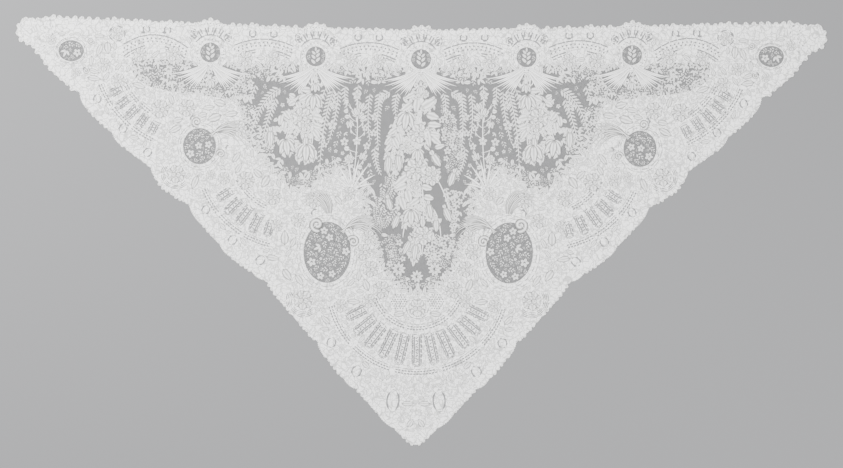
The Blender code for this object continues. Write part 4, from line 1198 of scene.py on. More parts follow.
# Small sprigs beside the centre bouquet: kinds, size, room between them, corners of their patch
BESIDE_CENTRE = (
    (("daisy", "spray"), 2.1, 0.36, (6.6, 40.0), (9.6, 38.5), (13.4, 30.0), (13.0, 17.0), (9.4, 16.0), (8.0, 27.0)),
    (("fern", "fern", "spray"), 4.0, 0.4, (-8.0, 18.0), (-10.0, 18.0), (-14.4, 8.0), (-13.4, 1.5), (-9.0, 3.0)),
    (("daisy", "trefoil"), 1.9, 0.3, (8.4, 13.0), (13.2, 12.0), (12.8, 2.0), (11.0, 0.0)),
    (("spray", "daisy"), 2.3, 0.36, (4.0, -2.0), (12.0, -2.0), (10.0, -11.0), (3.4, -11.6), (2.4, -7.0)),
    (("spray", "spray", "daisy"), 2.3, 0.36, (-11.0, -2.0), (-6.4, -1.0), (-4.8, -9.0), (-9.0, -11.0)),
)

# The bouquets' leaves lie close, so each is a little fuller than charted
FULL_LENGTH = 1.1
FULL_WIDTH = 1.28


def bouquet_rows(table, height=ON_NET):
    rows = []
    for kind, u, v, size, width, turn in table:
        if kind == "leaf":
            leaf(rows, u, v, size * FULL_LENGTH, width * FULL_WIDTH, turn, height)
        elif kind == "bud":
            bud(rows, u, v, size, width * FULL_WIDTH, turn, height + 0.02)
        elif kind == "tulip":
            tulip(rows, u, v, size * FULL_LENGTH, turn, height + 0.02)
        else:
            SHAPES[kind](rows, u, v, size * FULL_LENGTH, height + 0.03)
    return rows


# Blades and threads swept along charted lines. Each: points, widths, rise, height


def swell_widths(width, count, root=0.55, tip=0.1):
    """Widths along a blade: narrow at its root, full in its middle, fine at its tip."""
    out = []
    for i in range(count):
        t = i / (count - 1)
        start = root + (1.0 - root) * min(1.0, t / 0.35)
        out.append(width * (start if t < 0.45 else tip + (1.0 - tip) * (1.0 - (t - 0.45) / 0.55) ** 0.8))
    return out


# Across a comb's strand or a scroll's ribbon: share of the half width, share of the rise, mark (its share of
# painted shade, strongest at the edges)
COMB_SECTION = ((-1.0, 0.0, 1.0), (-0.62, 0.9, 0.75), (0.0, 1.0, 0.0), (0.62, 0.9, 0.75), (1.0, 0.0, 1.0))


def strand(blades, u, v, length, width, turn, curl, height=ON_NET, rise=RISE, root=0.55):
    """A curved strand from its root, bending by curl degrees on its way."""
    count = 7
    points = [(u, v)]
    step = length / (count - 1)
    for i in range(count - 1):
        heading = turn + curl * (i + 0.5) / (count - 1)
        points.append(polar(points[-1][0], points[-1][1], step, heading))
    blades.append((points, swell_widths(width, count, root), rise, height))


def band(blades, points, width, height=ON_CLOTH, rise=RISE):
    """A raised thread or ribbon of one width, with narrowed ends."""
    widths = [width] * len(points)
    widths[0] = widths[-1] = width * 0.5
    blades.append((points, widths, rise, height))


def mirrored_blades(blades):
    out = []
    for points, widths, rise, height in blades:
        out.append((points, widths, rise, height))
        out.append(([(-u, v) for u, v in points], widths, rise, height))
    return out


def sweep_blades(name, blades, material, section=PETAL_SECTION):
    """All the blades of one piece, each closed below."""
    verts = []
    faces = []
    marks = []
    across = len(section)
    for points, widths, rise, height in blades:
        laid_points = [place(*p) for p in points]
        first = len(verts)
        for i, here in enumerate(laid_points):
            before = laid_points[max(i - 1, 0)]
            after = laid_points[min(i + 1, len(laid_points) - 1)]
            d = Vector((after[0] - before[0], after[1] - before[1])).normalized()
            for share, lift, mark in section:
                side = share * widths[i] / 2
                verts.append(((here[0] - d.y * side) * CM, (here[1] + d.x * side) * CM,
                              (height + lift * rise) * CM))
                marks.append(mark)
        last = first + across * (len(laid_points) - 1)
        for i in range(len(laid_points) - 1):
            row = first + i * across
            for k in range(across - 1):
                faces.append((row + k, row + k + 1, row + across + k + 1, row + across + k))
            faces.append((row + across - 1, row, row + across, row + 2 * across - 1))
        faces.append(tuple(range(first, first + across))[::-1])
        faces.append(tuple(range(last, last + across)))
    piece = new_piece(name, verts, faces, material)
    # The rim attribute carries the painted shade along each blade's edges.
    rim = piece.data.attributes.new("rim", "FLOAT", "POINT")
    rim.data.foreach_set("value", marks)
    mesh = bmesh.new()
    mesh.from_mesh(piece.data)
    bmesh.ops.recalc_face_normals(mesh, faces=mesh.faces)
    mesh.to_mesh(piece.data)
    mesh.free()
    return piece


def palmette(blades, rows, middle):
    """Two combed feathers below a medallion, with a small tulip and two curls between them."""
    v = top_line(middle) - 14.4
    for hand in (1, -1):
        for i in range(12):
            t = i / 11
            turn = -30 - 28 * t
            reach = (12.8 - 5.4 * t) * (1.0 - 0.15 * (i % 2))
            curl = 26 - 34 * t
            if hand < 0:
                turn, curl = 180 - turn, -curl
            strand(blades, middle + hand * 0.9, v + 2.4 - 2.0 * t, reach, 0.72, turn, curl,
                   ON_CLOTH + PLY * (i % 4), PLY)
        u = middle + hand * 1.5
        ring = arc(u, v - 2.3, 0.62, 0.95, 100, 100 - hand * 250, 9)
        band(blades, ring, 0.42, ON_NET)
    tulip(rows, middle, v - 4.4, 1.7, 270)
    leaf(rows, middle, v - 1.2, 2.6, 1.1, 270)


def plume(blades, u, v, length, turn, spread, curl, strands):
    """A comb of strands that rise from one root together and curl over."""
    for i in range(strands):
        t = i / (strands - 1) - 0.5
        reach = length * (1.0 - 0.42 * abs(t + 0.2))
        root = polar(u, v, 1.3 * t, turn + 90)
        strand(blades, *root, reach, 0.8, turn - math.copysign(spread, curl) * t, curl * (0.85 - 0.4 * t),
               ON_CLOTH + PLY * (i % 4), PLY)


class SHAWL_OT_feathers(bpy.types.Operator):
    """Comb out the feathers below the medallions and beside the rings"""
    bl_idname = "shawl.feathers"
    bl_label = "Feathers"

    def execute(self, context):
        for index in range(5):
            blades = []
            rows = []
            palmette(blades, rows, (index - 2) * BAY)
            take_lines(room().taken, [blade[0] for blade in blades], 0.4)
            feathers = sweep_blades("feathers_%d" % (index + 1), blades, finish_named("rim_shaded_cloth"))
            own(feathers, "raised_motif", "palmette_%d" % (index + 1))
            cup = grow_shapes("feather_flower_%d" % (index + 1), rows, finish_named("rim_shaded_cloth"))
            own(cup, "raised_motif")
        for name, u, v, length, turn, spread, curl, strands in PLUMES:
            blades = []
            plume(blades, u, v, length, turn, spread, curl, strands)
            take_lines(room().taken, [blade[0] for blade in blades], 0.4)
            for hand, sign in (("right", 1), ("left", -1)):
                mine = [([(sign * p[0], p[1]) for p in points], widths, rise, height)
                        for points, widths, rise, height in blades]
                piece = sweep_blades("comb_%s_%s" % (name, hand), mine, finish_named("rim_shaded_cloth"), COMB_SECTION)
                node = "plume_%s_%s" % (name, hand)
                own(piece, "raised_motif", *([node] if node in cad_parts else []))
        ribbons = []
        for u, v, radius, turn in SCROLLS:
            band(ribbons, spiral(u, v, radius * 0.7, turn, 1.15, 26), radius * 0.52, ON_CLOTH + PLY, PLY)
        scrolls = sweep_blades("scrolls", mirrored_blades(ribbons), finish_named("rim_shaded_cloth"), COMB_SECTION)
        own(scrolls, "dense_lace")
        return {"FINISHED"}


# Feathers over the big rings and beside the upper ones, right hand.
# Columns: name, u and v of the root, length, middle turn in degrees, spread, curl, strands
PLUMES = (
    ("lower", 24.6, -0.4, 15.4, 126, 36, 112, 11),
    ("upper", 67.2, 30.2, 14.6, 134, 36, 96, 10),
    ("horn", 28.9, 5.6, 12.0, 88, 34, -104, 9),
)


def own(piece, slot, *nodes):
    """The piece lies on the shawl and stands for those nodes; its slot is not used."""
    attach(piece, "root")
    if nodes:
        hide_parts(*nodes)


class SHAWL_OT_sprigs(bpy.types.Operator):
    """Grow the ferns, garlands and small flowers on the net"""
    bl_idname = "shawl.sprigs"
    bl_label = "Sprigs on the net"

    def execute(self, context):
        rows = []
        for *ends, pairs, size in FRONDS:
            frond(rows, ends, round(pairs * 0.8), size, share=0.36)
        for u, v, radius in STARS:
            star(rows, u, v, radius, ON_NET + 0.04)
        take(room().taken, rows)
        piece = grow_shapes("sprigs_on_net", both_hands(rows), finish_named("rim_shaded_cloth"))
        own(piece, "raised_motif", *[n for n in APPLIED_NODES if n.startswith("garland")])
        return {"FINISHED"}


class SHAWL_OT_bouquets(bpy.types.Operator):
    """Build the bouquets' leaves, petals and buds"""
    bl_idname = "shawl.bouquets"
    bl_label = "Bouquets"

    def execute(self, context):
        centre = bouquet_rows(BOUQUET_CENTRE, ON_NET + PLY)
        side = bouquet_rows(BOUQUET_SIDE, ON_NET + PLY)
        here = room()
        kinds = ("leaf", "petal", "trefoil", "leaf")
        for node, rows, reach in (("bouquet_centre", centre, 0.6), ("bouquet_right", side, 0.4)):
            inside = wider(filled([charted(*p) for p in node_loops(node)[0]]), reach)
            covered = np.zeros(MAP_SHAPE, bool)
            take(covered, rows, -0.1)
            rows += strewn(inside, covered, kinds, 2.1, -0.05, 51, hanging, 70.0)
        covered = np.zeros(MAP_SHAPE, bool)
        take(covered, centre, 0.1)
        for kinds, size, margin, *corners in BESIDE_CENTRE:
            centre += strewn(filled(corners), covered, kinds, size, margin, 53, hanging, 30.0)
        blades = []
        for stem in STEMS_SIDE:
            band(blades, curve_points(stem, 9), 0.36, ON_NET + PLY / 2, PLY)
        for *stem, _, _ in FRONDS:
            band(blades, curve_points(stem, 9), 0.26, ON_NET, PLY)
        blades = mirrored_blades(blades)
        for stem in STEMS_CENTRE:
            band(blades, curve_points(stem, 11), 0.4, ON_NET + PLY / 2, PLY)
        own(sweep_blades("bouquet_stems", blades, finish_named("rim_shaded_cloth")), "raised_motif")
        take(here.taken, both_hands(centre), 0.5)
        take(here.taken, side, 0.5)
        for hand, rows in (("centre", centre), ("right", side), ("left", both_hands(side)[1::2])):
            piece = grow_shapes("flowers_" + hand, rows, finish_named("rim_shaded_cloth"))
            own(piece, "raised_motif", "bouquet_" + hand)
        return {"FINISHED"}


# Where there is room: the right-hand half of the chart in small cells

CELL = 0.2
MAP_LEFT = -16.0
MAP_RIGHT = 134.0
MAP_V = 72.0
MAP_SHAPE = (int(2 * MAP_V / CELL), int((MAP_RIGHT - MAP_LEFT) / CELL))
STEP = 0.18


def charted(x, y):
    """The chart's point for a place in the part's frame: the reverse of place."""
    u = x
    for _ in range(4):
        v = y + MIDDLE_Y + END_DROP * (u / CHART_REACH) * (abs(u) / CHART_REACH) ** 0.6
        u = x + MIDDLE_X - LEAN_TOP + LEAN * (LEAN_FROM_V - v)
    return u, v


def cells_at(u, v):
    """Rows and columns of the map under arrays of charted points."""
    rows = np.clip(((v + MAP_V) / CELL).astype(int), 0, MAP_SHAPE[0] - 1)
    return rows, np.clip(((u - MAP_LEFT) / CELL).astype(int), 0, MAP_SHAPE[1] - 1)


def filled(loop):
    """Cells whose middles lie inside a closed loop."""
    mask = np.zeros(MAP_SHAPE, bool)
    us = np.array([p[0] for p in loop])
    vs = np.array([p[1] for p in loop])
    ends_u = np.roll(us, -1)
    ends_v = np.roll(vs, -1)
    first = max(0, int((vs.min() + MAP_V) / CELL))
    last = min(MAP_SHAPE[0] - 1, int((vs.max() + MAP_V) / CELL) + 1)
    for row in range(first, last + 1):
        v = (row + 0.5) * CELL - MAP_V
        crossing = (vs > v) != (ends_v > v)
        hits = np.sort(us[crossing] + (v - vs[crossing]) * (ends_u[crossing] - us[crossing])
                       / (ends_v[crossing] - vs[crossing]))
        for a, b in zip(hits[::2], hits[1::2]):
            lo = max(0, int(round((a - MAP_LEFT) / CELL)))
            hi = max(0, int(round((b - MAP_LEFT) / CELL)))
            mask[row, lo:hi] = True
    return mask


def wider(mask, reach):
    """The mask with a rim added all round."""
    out = mask.copy()
    for _ in range(int(round(reach / CELL))):
        more = out.copy()
        more[1:] |= out[:-1]
        more[:-1] |= out[1:]
        more[:, 1:] |= out[:, :-1]
        more[:, :-1] |= out[:, 1:]
        out = more
    return out


def spread_points(rows, margin):
    """Points all over some leaves, with the rim that keeps their neighbours off."""
    out = []
    for kind, u, v, turn, length, width, _, _ in rows:
        start = -length / 2 if kind in ("button", "ring") else 0.0
        a = math.radians(turn)
        steps = int(length / STEP) + 3
        for i in range(-1, steps + 1):
            t = (i + 0.5) / steps
            half = width / 2 * math.sin(math.pi * min(max(t, 0.03), 0.97)) ** 0.7 + margin
            sides = int(half / STEP + 0.5)
            for k in range(-sides, sides + 1):
                along = start + length * t
                out.append((u + along * math.cos(a) - k * STEP * math.sin(a),
                            v + along * math.sin(a) + k * STEP * math.cos(a)))
    return np.array(out)


def take(taken, rows, margin=0.15):
    """Marks the cells under charted leaves, petals and flowers."""
    if rows:
        points = spread_points(rows, margin)
        taken[cells_at(points[:, 0], points[:, 1])] = True


def take_lines(taken, loops, reach):
    """Marks the cells along some closed lines."""
    mask = np.zeros(MAP_SHAPE, bool)
    for loop in loops:
        for a, b in zip(loop, loop[1:] + loop[:1]):
            steps = max(1, int(math.dist(a, b) / CELL))
            points = np.array([blend(a, b, i / steps) for i in range(steps)])
            mask[cells_at(points[:, 0], points[:, 1])] = True
    taken |= wider(mask, reach)


def sprig(kind, size, height):
    """A small motif rooted at the chart's origin, pointing along u."""
    rows = []
    if kind == "leaf":
        leaf(rows, 0.0, 0.0, size, size * 0.44, 0.0, height)
    elif kind == "petal":
        leaf(rows, 0.0, 0.0, size, size * 0.56, 0.0, height, kind="petal")
    elif kind == "trefoil":
        for turn, share in ((-50, 0.8), (50, 0.8), (0, 1.0)):
            leaf(rows, 0.0, 0.0, size * share, size * 0.36, turn, height)
    elif kind == "spray":
        frond(rows, ((0.0, 0.0), (size * 0.35, size * 0.05), (size * 0.6, 0.0)), 2, size * 0.4, height, 46, 0.2)
    elif kind == "fern":
        frond(rows, ((0.0, 0.0), (size * 0.5, size * 0.12), (size * 0.85, 0.0)), 5, size * 0.31, height, 50)
    elif kind == "daisy":
        star(rows, size / 2, 0.0, size / 2, height)
    return rows


def scatter(region, taken, kinds, sizes, tries, seed, height, flow, wander=40.0, margin=0.1):
    """Motifs wherever a region has room for them, the large ones first."""
    rng = random.Random(seed)
    out = []
    for size in sizes:
        open_cells = np.argwhere(region & ~taken)
        if not len(open_cells):
            break
        motifs = [sprig(kind, size, height) for kind in kinds]
        clouds = [spread_points(rows, margin) for rows in motifs]
        for _ in range(tries):
            pick = rng.randrange(len(kinds))
            row, column = open_cells[rng.randrange(len(open_cells))]
            u = MAP_LEFT + (column + rng.random()) * CELL
            v = (row + rng.random()) * CELL - MAP_V
            turn = flow(u, v) + wander * (2.0 * rng.random() - 1.0)
            grow = 0.88 + 0.24 * rng.random()
            c = grow * math.cos(math.radians(turn))
            s = grow * math.sin(math.radians(turn))
            cloud = clouds[pick]
            cells = cells_at(u + cloud[:, 0] * c - cloud[:, 1] * s, v + cloud[:, 0] * s + cloud[:, 1] * c)
            if taken[cells].any() or not region[cells].all():
                continue
            taken[cells] = True
            for kind, du, dv, own_turn, length, width, rise, _ in motifs[pick]:
                out.append((kind, u + du * c - dv * s, v + du * s + dv * c, turn + own_turn,
                            length * grow, width * grow, rise, height))
    return out


def strewn(region, taken, kinds, size, margin, seed, flow, wander=50.0, height=ON_NET):
    """Small motifs at every open spot of a region, each free to lie over the edge of its neighbours."""
    rng = random.Random(seed)
    spots = np.argwhere(region & ~taken).tolist()
    out = []
    for row, column in rng.sample(spots, len(spots)):
        if taken[row, column]:
            continue
        middle = (MAP_LEFT + (column + 0.5) * CELL, (row + 0.5) * CELL - MAP_V)
        turn = flow(*middle) + wander * (2.0 * rng.random() - 1.0)
        reach = size * (0.7 + 0.6 * rng.random())
        u, v = polar(*middle, -reach / 2, turn)
        c = math.cos(math.radians(turn))
        s = math.sin(math.radians(turn))
        mine = [(kind, u + du * c - dv * s, v + du * s + dv * c, turn + own_turn, length, width, rise, height)
                for kind, du, dv, own_turn, length, width, rise, _ in sprig(rng.choice(kinds), reach, height)]
        take(taken, mine, margin)
        out += mine
    return out


def swirl(u, v):
    """A direction that turns slowly over the cloth, like scrolling stems."""
    return 460.0 * noise.noise(Vector((u * 0.05, v * 0.05, 1.7)))


def hanging(u, v):
    """Sprigs on the net hang down, leaning a little to either side with a slow noise."""
    return -90.0 + 34.0 * noise.noise(Vector((u * 0.12, v * 0.12, 6.1)))


class Room:
    """The right-hand half of the shawl, with what is already taken."""

    def __init__(self):
        self.dense = np.zeros(MAP_SHAPE, bool)
        self.taken = np.zeros(MAP_SHAPE, bool)
        self.windows = np.zeros(MAP_SHAPE, bool)
        self.loops = []
        for node in DENSE_NODES:
            loops = [[charted(*p) for p in rounded(loop)] for loop in node_loops(node)]
            inner = filled(loops[0])
            for loop in loops[1:]:
                inner &= ~filled(loop)
            self.dense |= inner
            self.loops.append(loops[0])
            take_lines(self.taken, loops[1:], 0.4)
        for node in NET_NODES:
            loop = [charted(*p) for p in node_loops(node)[0]]
            if node == "net_ground":
                self.net_loop = loop
                self.net = filled(loop)
            else:
                self.windows |= filled(loop)
        self.net &= ~self.dense
        self.whole = self.dense | self.net | self.windows
        self.outside = ~wider(self.whole, 0.4)
        for loop in clear_places():
            self.taken |= filled(loop)
        self.taken &= ~self.windows
        self.taken[:, :int((0.2 - MAP_LEFT) / CELL)] = True


def clear_places():
    """Outlines of the rings, medallions, ovals and fan windows, which stay clear of scattered leaves."""
    loops = []
    for u, v, half_u, half_v, width in RINGS:
        loops.append(arc(u, v, half_u + width + 0.35, half_v + width + 0.35, 0, 350, 36))
    for index in range(2, 5):
        middle = (index - 2) * BAY
        loops.append(arc(middle, top_line(middle) - MEDALLION_DROP, 5.7, 5.7, 0, 350, 36))
    for middle, broad, sag in BAYS:
        loops.append(bay_arc(middle, 3.0, 10.2 * broad, sag=sag) + bay_arc(middle, 8.3, 9.6 * broad, sag=sag)[::-1])
    loops.append(arc(HONEYCOMB_U, HONEYCOMB_V, HONEYCOMB_R, HONEYCOMB_R, 0, 345, 24))
    for u, v, half_u, half_v, _ in OVALS:
        loops.append(arc(u, v, half_u + 0.5, half_v + 0.5, 0, 345, 24))
    for u, v, radius, first, last, windows, length, width, inner, outer in FANS:
        step = (last - first) / (windows - 1)
        for i in range(windows):
            t = i / (windows - 1)
            reach = length * (0.68 + 0.32 * math.sin(math.pi * t)) / 2 + 1.1
            turn = first + (last - first) * t
            corners = [polar(*polar(u, v, radius + along, turn), across, turn + 90)
                       for along, across in ((-reach, -1.5), (reach, -1.5), (reach, 1.5), (-reach, 1.5))]
            loops.append(corners)
        for r in (inner, outer):
            loops.append(arc(u, v, r + 0.75, r + 0.75, first - step, last + step, 24)
                         + arc(u, v, r - 1.4, r - 1.4, last + step, first - step, 24))
    return loops


ROOMS = []


def room():
    if not ROOMS:
        ROOMS.append(Room())
    return ROOMS[0]


def add_piece(name, rows, slot, *nodes):
    """Both hands of some charted rows as one piece."""
    piece = grow_shapes(name, both_hands(rows), finish_named("rim_shaded_cloth"))
    own(piece, slot, *nodes)
    return piece


# Roses worked on the dense cloth, right hand. Columns: kind, u, v, radius
CLOTH_FLOWERS = (
    ("rose", 22.5, 54.6, 2.5),
    ("rose", 13.7, 54.4, 2.3),
    ("rose", 56.3, 55.0, 2.5),
    ("rose", 47.5, 55.0, 2.3),
    ("rose", 90.0, 56.0, 2.3),
    ("rose", 79.5, 56.4, 2.5),
    ("rose", 97.6, 62.6, 2.1),
    ("rose", 78.0, 17.8, 3.0),
    ("rose", 36.6, -22.2, 3.2),
    ("rose", 0.0, -24.6, 2.9),
    ("rose", 101.5, 52.6, 2.2),
    ("rose", 97.0, 47.6, 2.4),
    ("rose", 83.4, 38.6, 3.0),
    ("rose", 74.8, 39.0, 2.9),
    ("rose", 58.0, 32.6, 2.6),
    ("rose", 55.6, 16.0, 3.0),
    ("rose", 46.8, 10.8, 2.7),
    ("rose", 38.6, 3.4, 2.4),
    ("rose", 33.8, 9.8, 2.7),
    ("rose", 22.5, 12.0, 2.3),
    ("rose", 24.6, -24.0, 2.2),
    ("rose", 15.6, -22.4, 2.4),
    ("rose", 11.6, -18.8, 2.9),
    ("rose", 16.0, -2.0, 2.3),
    ("rose", 17.6, -6.7, 2.7),
    ("rose", 15.2, -12.2, 2.7),
    ("rose", 45.4, 1.6, 2.0),
    ("rose", 110.6, 50.0, 1.5),
    ("rose", 118.6, 60.4, 1.7),
    ("rose", 62.6, 16.6, 2.1),
    ("rose", 66.8, 17.6, 1.7),
)

EDGE_PLAIN = 4.2


class SHAWL_OT_border_flowers(bpy.types.Operator):
    """Work the roses and the scrolling leaves of the dense cloth"""
    bl_idname = "shawl.border_flowers"
    bl_label = "Border flowers"

    def execute(self, context):
        here = room()
        take_lines(here.taken, [[charted(*p) for p in cut] for cut in dense_cuts()], 0.2)
        rows = []
        for kind, u, v, radius in CLOTH_FLOWERS:
            SHAPES[kind](rows, u, v, radius, ON_CLOTH)
        take(here.taken, rows)
        add_piece("roses_on_cloth", rows, "dense_lace")
        inner = here.dense & ~wider(here.outside, EDGE_PLAIN)
        rows = scatter(inner, here.taken, ("leaf", "petal", "spray"), (4.6, 3.6, 2.9, 2.3), 2600, 11,
                       ON_CLOTH, swirl, 25.0, 0.06)
        rows += scatter(inner, here.taken, ("leaf", "petal"), (1.8, 1.4, 1.05), 5000, 12, ON_CLOTH, swirl, 50.0,
                        0.05)
        add_piece("leaves_on_cloth", rows, "dense_lace")
        return {"FINISHED"}


# Where the narrow far lobes of the net begin
FAR_LOBE_U = 54.0


class SHAWL_OT_net_edge(bpy.types.Operator):
    """Root leaves and small flowers all along the net's outline, reaching into the net"""
    bl_idname = "shawl.net_edge"
    bl_label = "Leaves round the net"

    def execute(self, context):
        here = room()
        rng = random.Random(5)
        rows = []
        loop = here.net_loop
        inward = 90.0 if area_of(loop) > 0 else -90.0
        for a, b in zip(loop, loop[1:] + loop[:1]):
            heading = math.degrees(math.atan2(b[1] - a[1], b[0] - a[0]))
            count = max(1, round(math.dist(a, b) / 0.95))
            for i in range(count):
                u, v = blend(a, b, (i + rng.random()) / count)
                if u < 0.3:
                    continue
                side = 1 if i % 2 else -1
                root = polar(u, v, -0.7, heading + inward)
                size = (1.7 + 2.1 * rng.random()) * (1.0 if u < FAR_LOBE_U else 0.6)
                turn = heading + inward + side * (15 + 38 * rng.random())
                if i % 5 == 4:
                    star(rows, *polar(u, v, 1.0, heading + inward), 1.1, ON_NET + 0.05)
                leaf(rows, *root, size, size * 0.42, turn, ON_NET + PLY * (i % 3))
        take(here.taken, rows)
        small = ("spray", "trefoil", "leaf", "spray", "petal")
        more = []
        for reach, end, size, margin, seed in ((0.8, MAP_RIGHT, 1.9, 0.06, 21), (1.8, FAR_LOBE_U, 1.9, 0.06, 22),
                                               (2.8, FAR_LOBE_U, 2.2, 0.26, 23), (5.0, FAR_LOBE_U, 2.4, 0.5, 24)):
            near = here.net & wider(here.dense, reach)
            near[:, int((end - MAP_LEFT) / CELL):] = False
            more += strewn(near, here.taken, small, size, margin, seed, hanging, 90.0)
        add_piece("leaves_round_net", rows + more, "raised_motif")
        return {"FINISHED"}


class SHAWL_OT_window_sprigs(bpy.types.Operator):
    """Fill the net windows of the rings and medallions with sprigs"""
    bl_idname = "shawl.window_sprigs"
    bl_label = "Sprigs in the windows"

    def execute(self, context):
        here = room()
        rows = []
        centre = []
        for index in range(2, 5):
            middle = (index - 2) * BAY
            v = top_line(middle) - MEDALLION_DROP
            target = rows if index > 2 else centre
            frond(target, ((middle, v - 2.6), (middle, v), (middle, v + 1.5)), 3, 2.2, ON_NET, 44, 0.2, 0.5)
        take(here.taken, rows + centre, 0.1)
        rows += scatter(here.windows, here.taken, ("spray", "trefoil", "spray", "daisy"),
                        (2.9, 2.3, 1.8, 1.4, 1.1), 3500, 31, ON_NET, hanging, 90.0, 0.0)
        add_piece("sprigs_in_windows", rows, "raised_motif")
        own(grow_shapes("sprig_in_middle_window", centre, finish_named("rim_shaded_cloth")), "raised_motif")
        return {"FINISHED"}


# Flower trees between the lobes, right hand. Columns: kind, u, v, radius, turn
TREE = (
    ("star", 20.4, 43.6, 1.7, 0),
    ("ring", 22.8, 41.4, 0.9, 0),
    ("tulip", 18.6, 40.0, 1.5, 120),
    ("tulip", 20.6, 38.2, 1.6, 70),
    ("ring", 22.9, 38.4, 0.9, 0),
    ("tulip", 18.2, 36.4, 1.5, 150),
    ("ring", 22.6, 36.6, 0.9, 0),
    ("tulip", 22.4, 34.0, 1.4, 250),
    ("star", 17.6, 33.0, 1.2, 0),
    ("star", 24.2, 28.6, 1.5, 0),
    ("ring", 22.4, 26.4, 1.0, 0),
    ("star", 17.0, 27.2, 1.3, 0),
    ("tulip", 18.0, 24.0, 1.4, 110),
    ("rose", 22.6, 23.0, 1.6, 0),
    ("ring", 18.2, 20.4, 0.9, 0),
    ("star", 23.4, 18.8, 1.3, 0),
)

# Leaf blades that rise between the lobes, right hand. Columns: u, v, length, turn
CREST = (
    (20.6, 13.6, 7.5, 152), (20.2, 14.0, 8.6, 136), (20.8, 14.6, 9.2, 118), (21.2, 15.0, 9.6, 101),
    (21.8, 15.0, 9.2, 84), (22.4, 14.6, 9.0, 66), (23.0, 14.0, 8.2, 48), (23.4, 13.2, 7.2, 30),
)


class SHAWL_OT_trees(bpy.types.Operator):
    """Grow the flower trees that stand between the lobes of the net"""
    bl_idname = "shawl.trees"
    bl_label = "Flower trees"

    def execute(self, context):
        here = room()
        rows = []
        for kind, u, v, radius, turn in TREE:
            if kind == "tulip":
                tulip(rows, u, v, radius, turn, ON_NET + 0.03)
            elif kind == "ring":
                leaf(rows, u, v, radius * 2, radius * 2, 0.0, ON_NET, RISE, "ring")
            else:
                SHAPES[kind](rows, u, v, radius, ON_NET + 0.03)
            leaf(rows, u, v - radius * 1.1, 1.5, 0.55, 250 if u > 20.3 else -70, ON_NET)
        take(here.taken, rows)
        add_piece("tree_flowers", rows, "raised_motif")
        blades = []
        band(blades, curve_points(((21.6, 14.0), (19.4, 28.0), (20.4, 42.0)), 12), 0.34, ON_NET)
        for kind, u, v, radius, turn in TREE:
            foot = (20.3, v - 3.4)
            band(blades, curve_points((foot, (20.3 + (u - 20.3) * 0.8, v - 2.8), (u, v - radius * 0.6)), 5), 0.26,
                 ON_NET)
        for u, v, length, turn in CREST:
            strand(blades, u, v, length * 0.85, 0.8, turn, (turn - 95) * 0.5, ON_CLOTH, PLY)
        stems = sweep_blades("tree_stems", mirrored_blades(blades), finish_named("rim_shaded_cloth"))
        own(stems, "raised_motif")
        return {"FINISHED"}


class SHAWL_OT_field_sprigs(bpy.types.Operator):
    """Strew fern sprays and small flowers over the open net"""
    bl_idname = "shawl.field_sprigs"
    bl_label = "Sprigs over the field"

    def execute(self, context):
        here = room()
        rows = []
        rows += scatter(here.net, here.taken, ("fern",), (8.0, 6.4, 5.2), 700, 41, ON_NET, hanging, 26.0, 0.45)
        far = here.net.copy()
        far[:, :int((FAR_LOBE_U - MAP_LEFT) / CELL)] = False
        rows += strewn(far, here.taken, ("spray", "trefoil", "spray", "daisy"), 2.6, 0.45, 42, hanging, 50.0)
        rows += scatter(here.net, here.taken, ("spray", "trefoil", "daisy"), (3.0, 2.2, 1.6), 700, 43, ON_NET,
                        hanging, 60.0, 0.36)
        add_piece("sprigs_over_field", rows, "raised_motif")
        return {"FINISHED"}


# Stretches of the side edges that are smooth, between the jagged ones: highest and lowest v
SMOOTH_EDGE = (
    (44.1, 38.0), (32.2, 27.7), (22.6, 18.1), (9.3, 1.3), (-5.3, -8.4), (-12.8, -15.9), (-34.8, -40.0),
    (-46.2, -51.1), (-57.9, -63.6),
)
WIDE_POINT = 2.4
CLOSE_POINT = 1.8


class SHAWL_OT_picots(bpy.types.Operator):
    """Set the picots, the small loops along the shawl's outer edge"""
    bl_idname = "shawl.picots"
    bl_label = "Picots"

    def execute(self, context):
        here = room()
        length = context.scene.shawl_sizes.picot / CM
        rng = random.Random(8)
        rows = []
        points = []
        for loop in here.loops:
            walked = 0.0
            outward = -90.0 if area_of(loop) > 0 else 90.0
            for a, b in zip(loop, loop[1:] + loop[:1]):
                heading = math.degrees(math.atan2(b[1] - a[1], b[0] - a[0]))
                probe = polar(*blend(a, b, 0.5), 0.7, heading + outward)
                if blend(a, b, 0.5)[0] < 0 or here.whole[cells_at(*(np.array([c]) for c in probe))].any():
                    continue
                count = max(1, round(math.dist(a, b) / 0.5))
                for i in range(count):
                    root = polar(*blend(a, b, (i + 0.5) / count), -0.12, heading + outward)
                    leaf(rows, *root, length + 0.12, 0.34, heading + outward, ON_NET, RISE, "petal")
                pitch = WIDE_POINT if a[1] > SMOOTH_EDGE[0][0] else CLOSE_POINT
                while walked < math.dist(a, b):
                    u, v = blend(a, b, walked / math.dist(a, b))
                    if v > 50.0 or not any(high > v > low for high, low in SMOOTH_EDGE):
                        tall = pitch * (0.28 + 0.2 * rng.random())
                        turn = heading + outward + 14 * (2 * rng.random() - 1)
                        leaf(points, *polar(u, v, -0.9, turn), 0.9 + tall, pitch * 0.94, turn,
                             ON_NET + PLY * (len(points) % 2), PLY)
                    walked += pitch * (0.85 + 0.3 * rng.random())
                walked -= math.dist(a, b)
        add_piece("edge_points", points, "dense_lace")
        add_piece("picots", rows, "dense_lace")
        return {"FINISHED"}


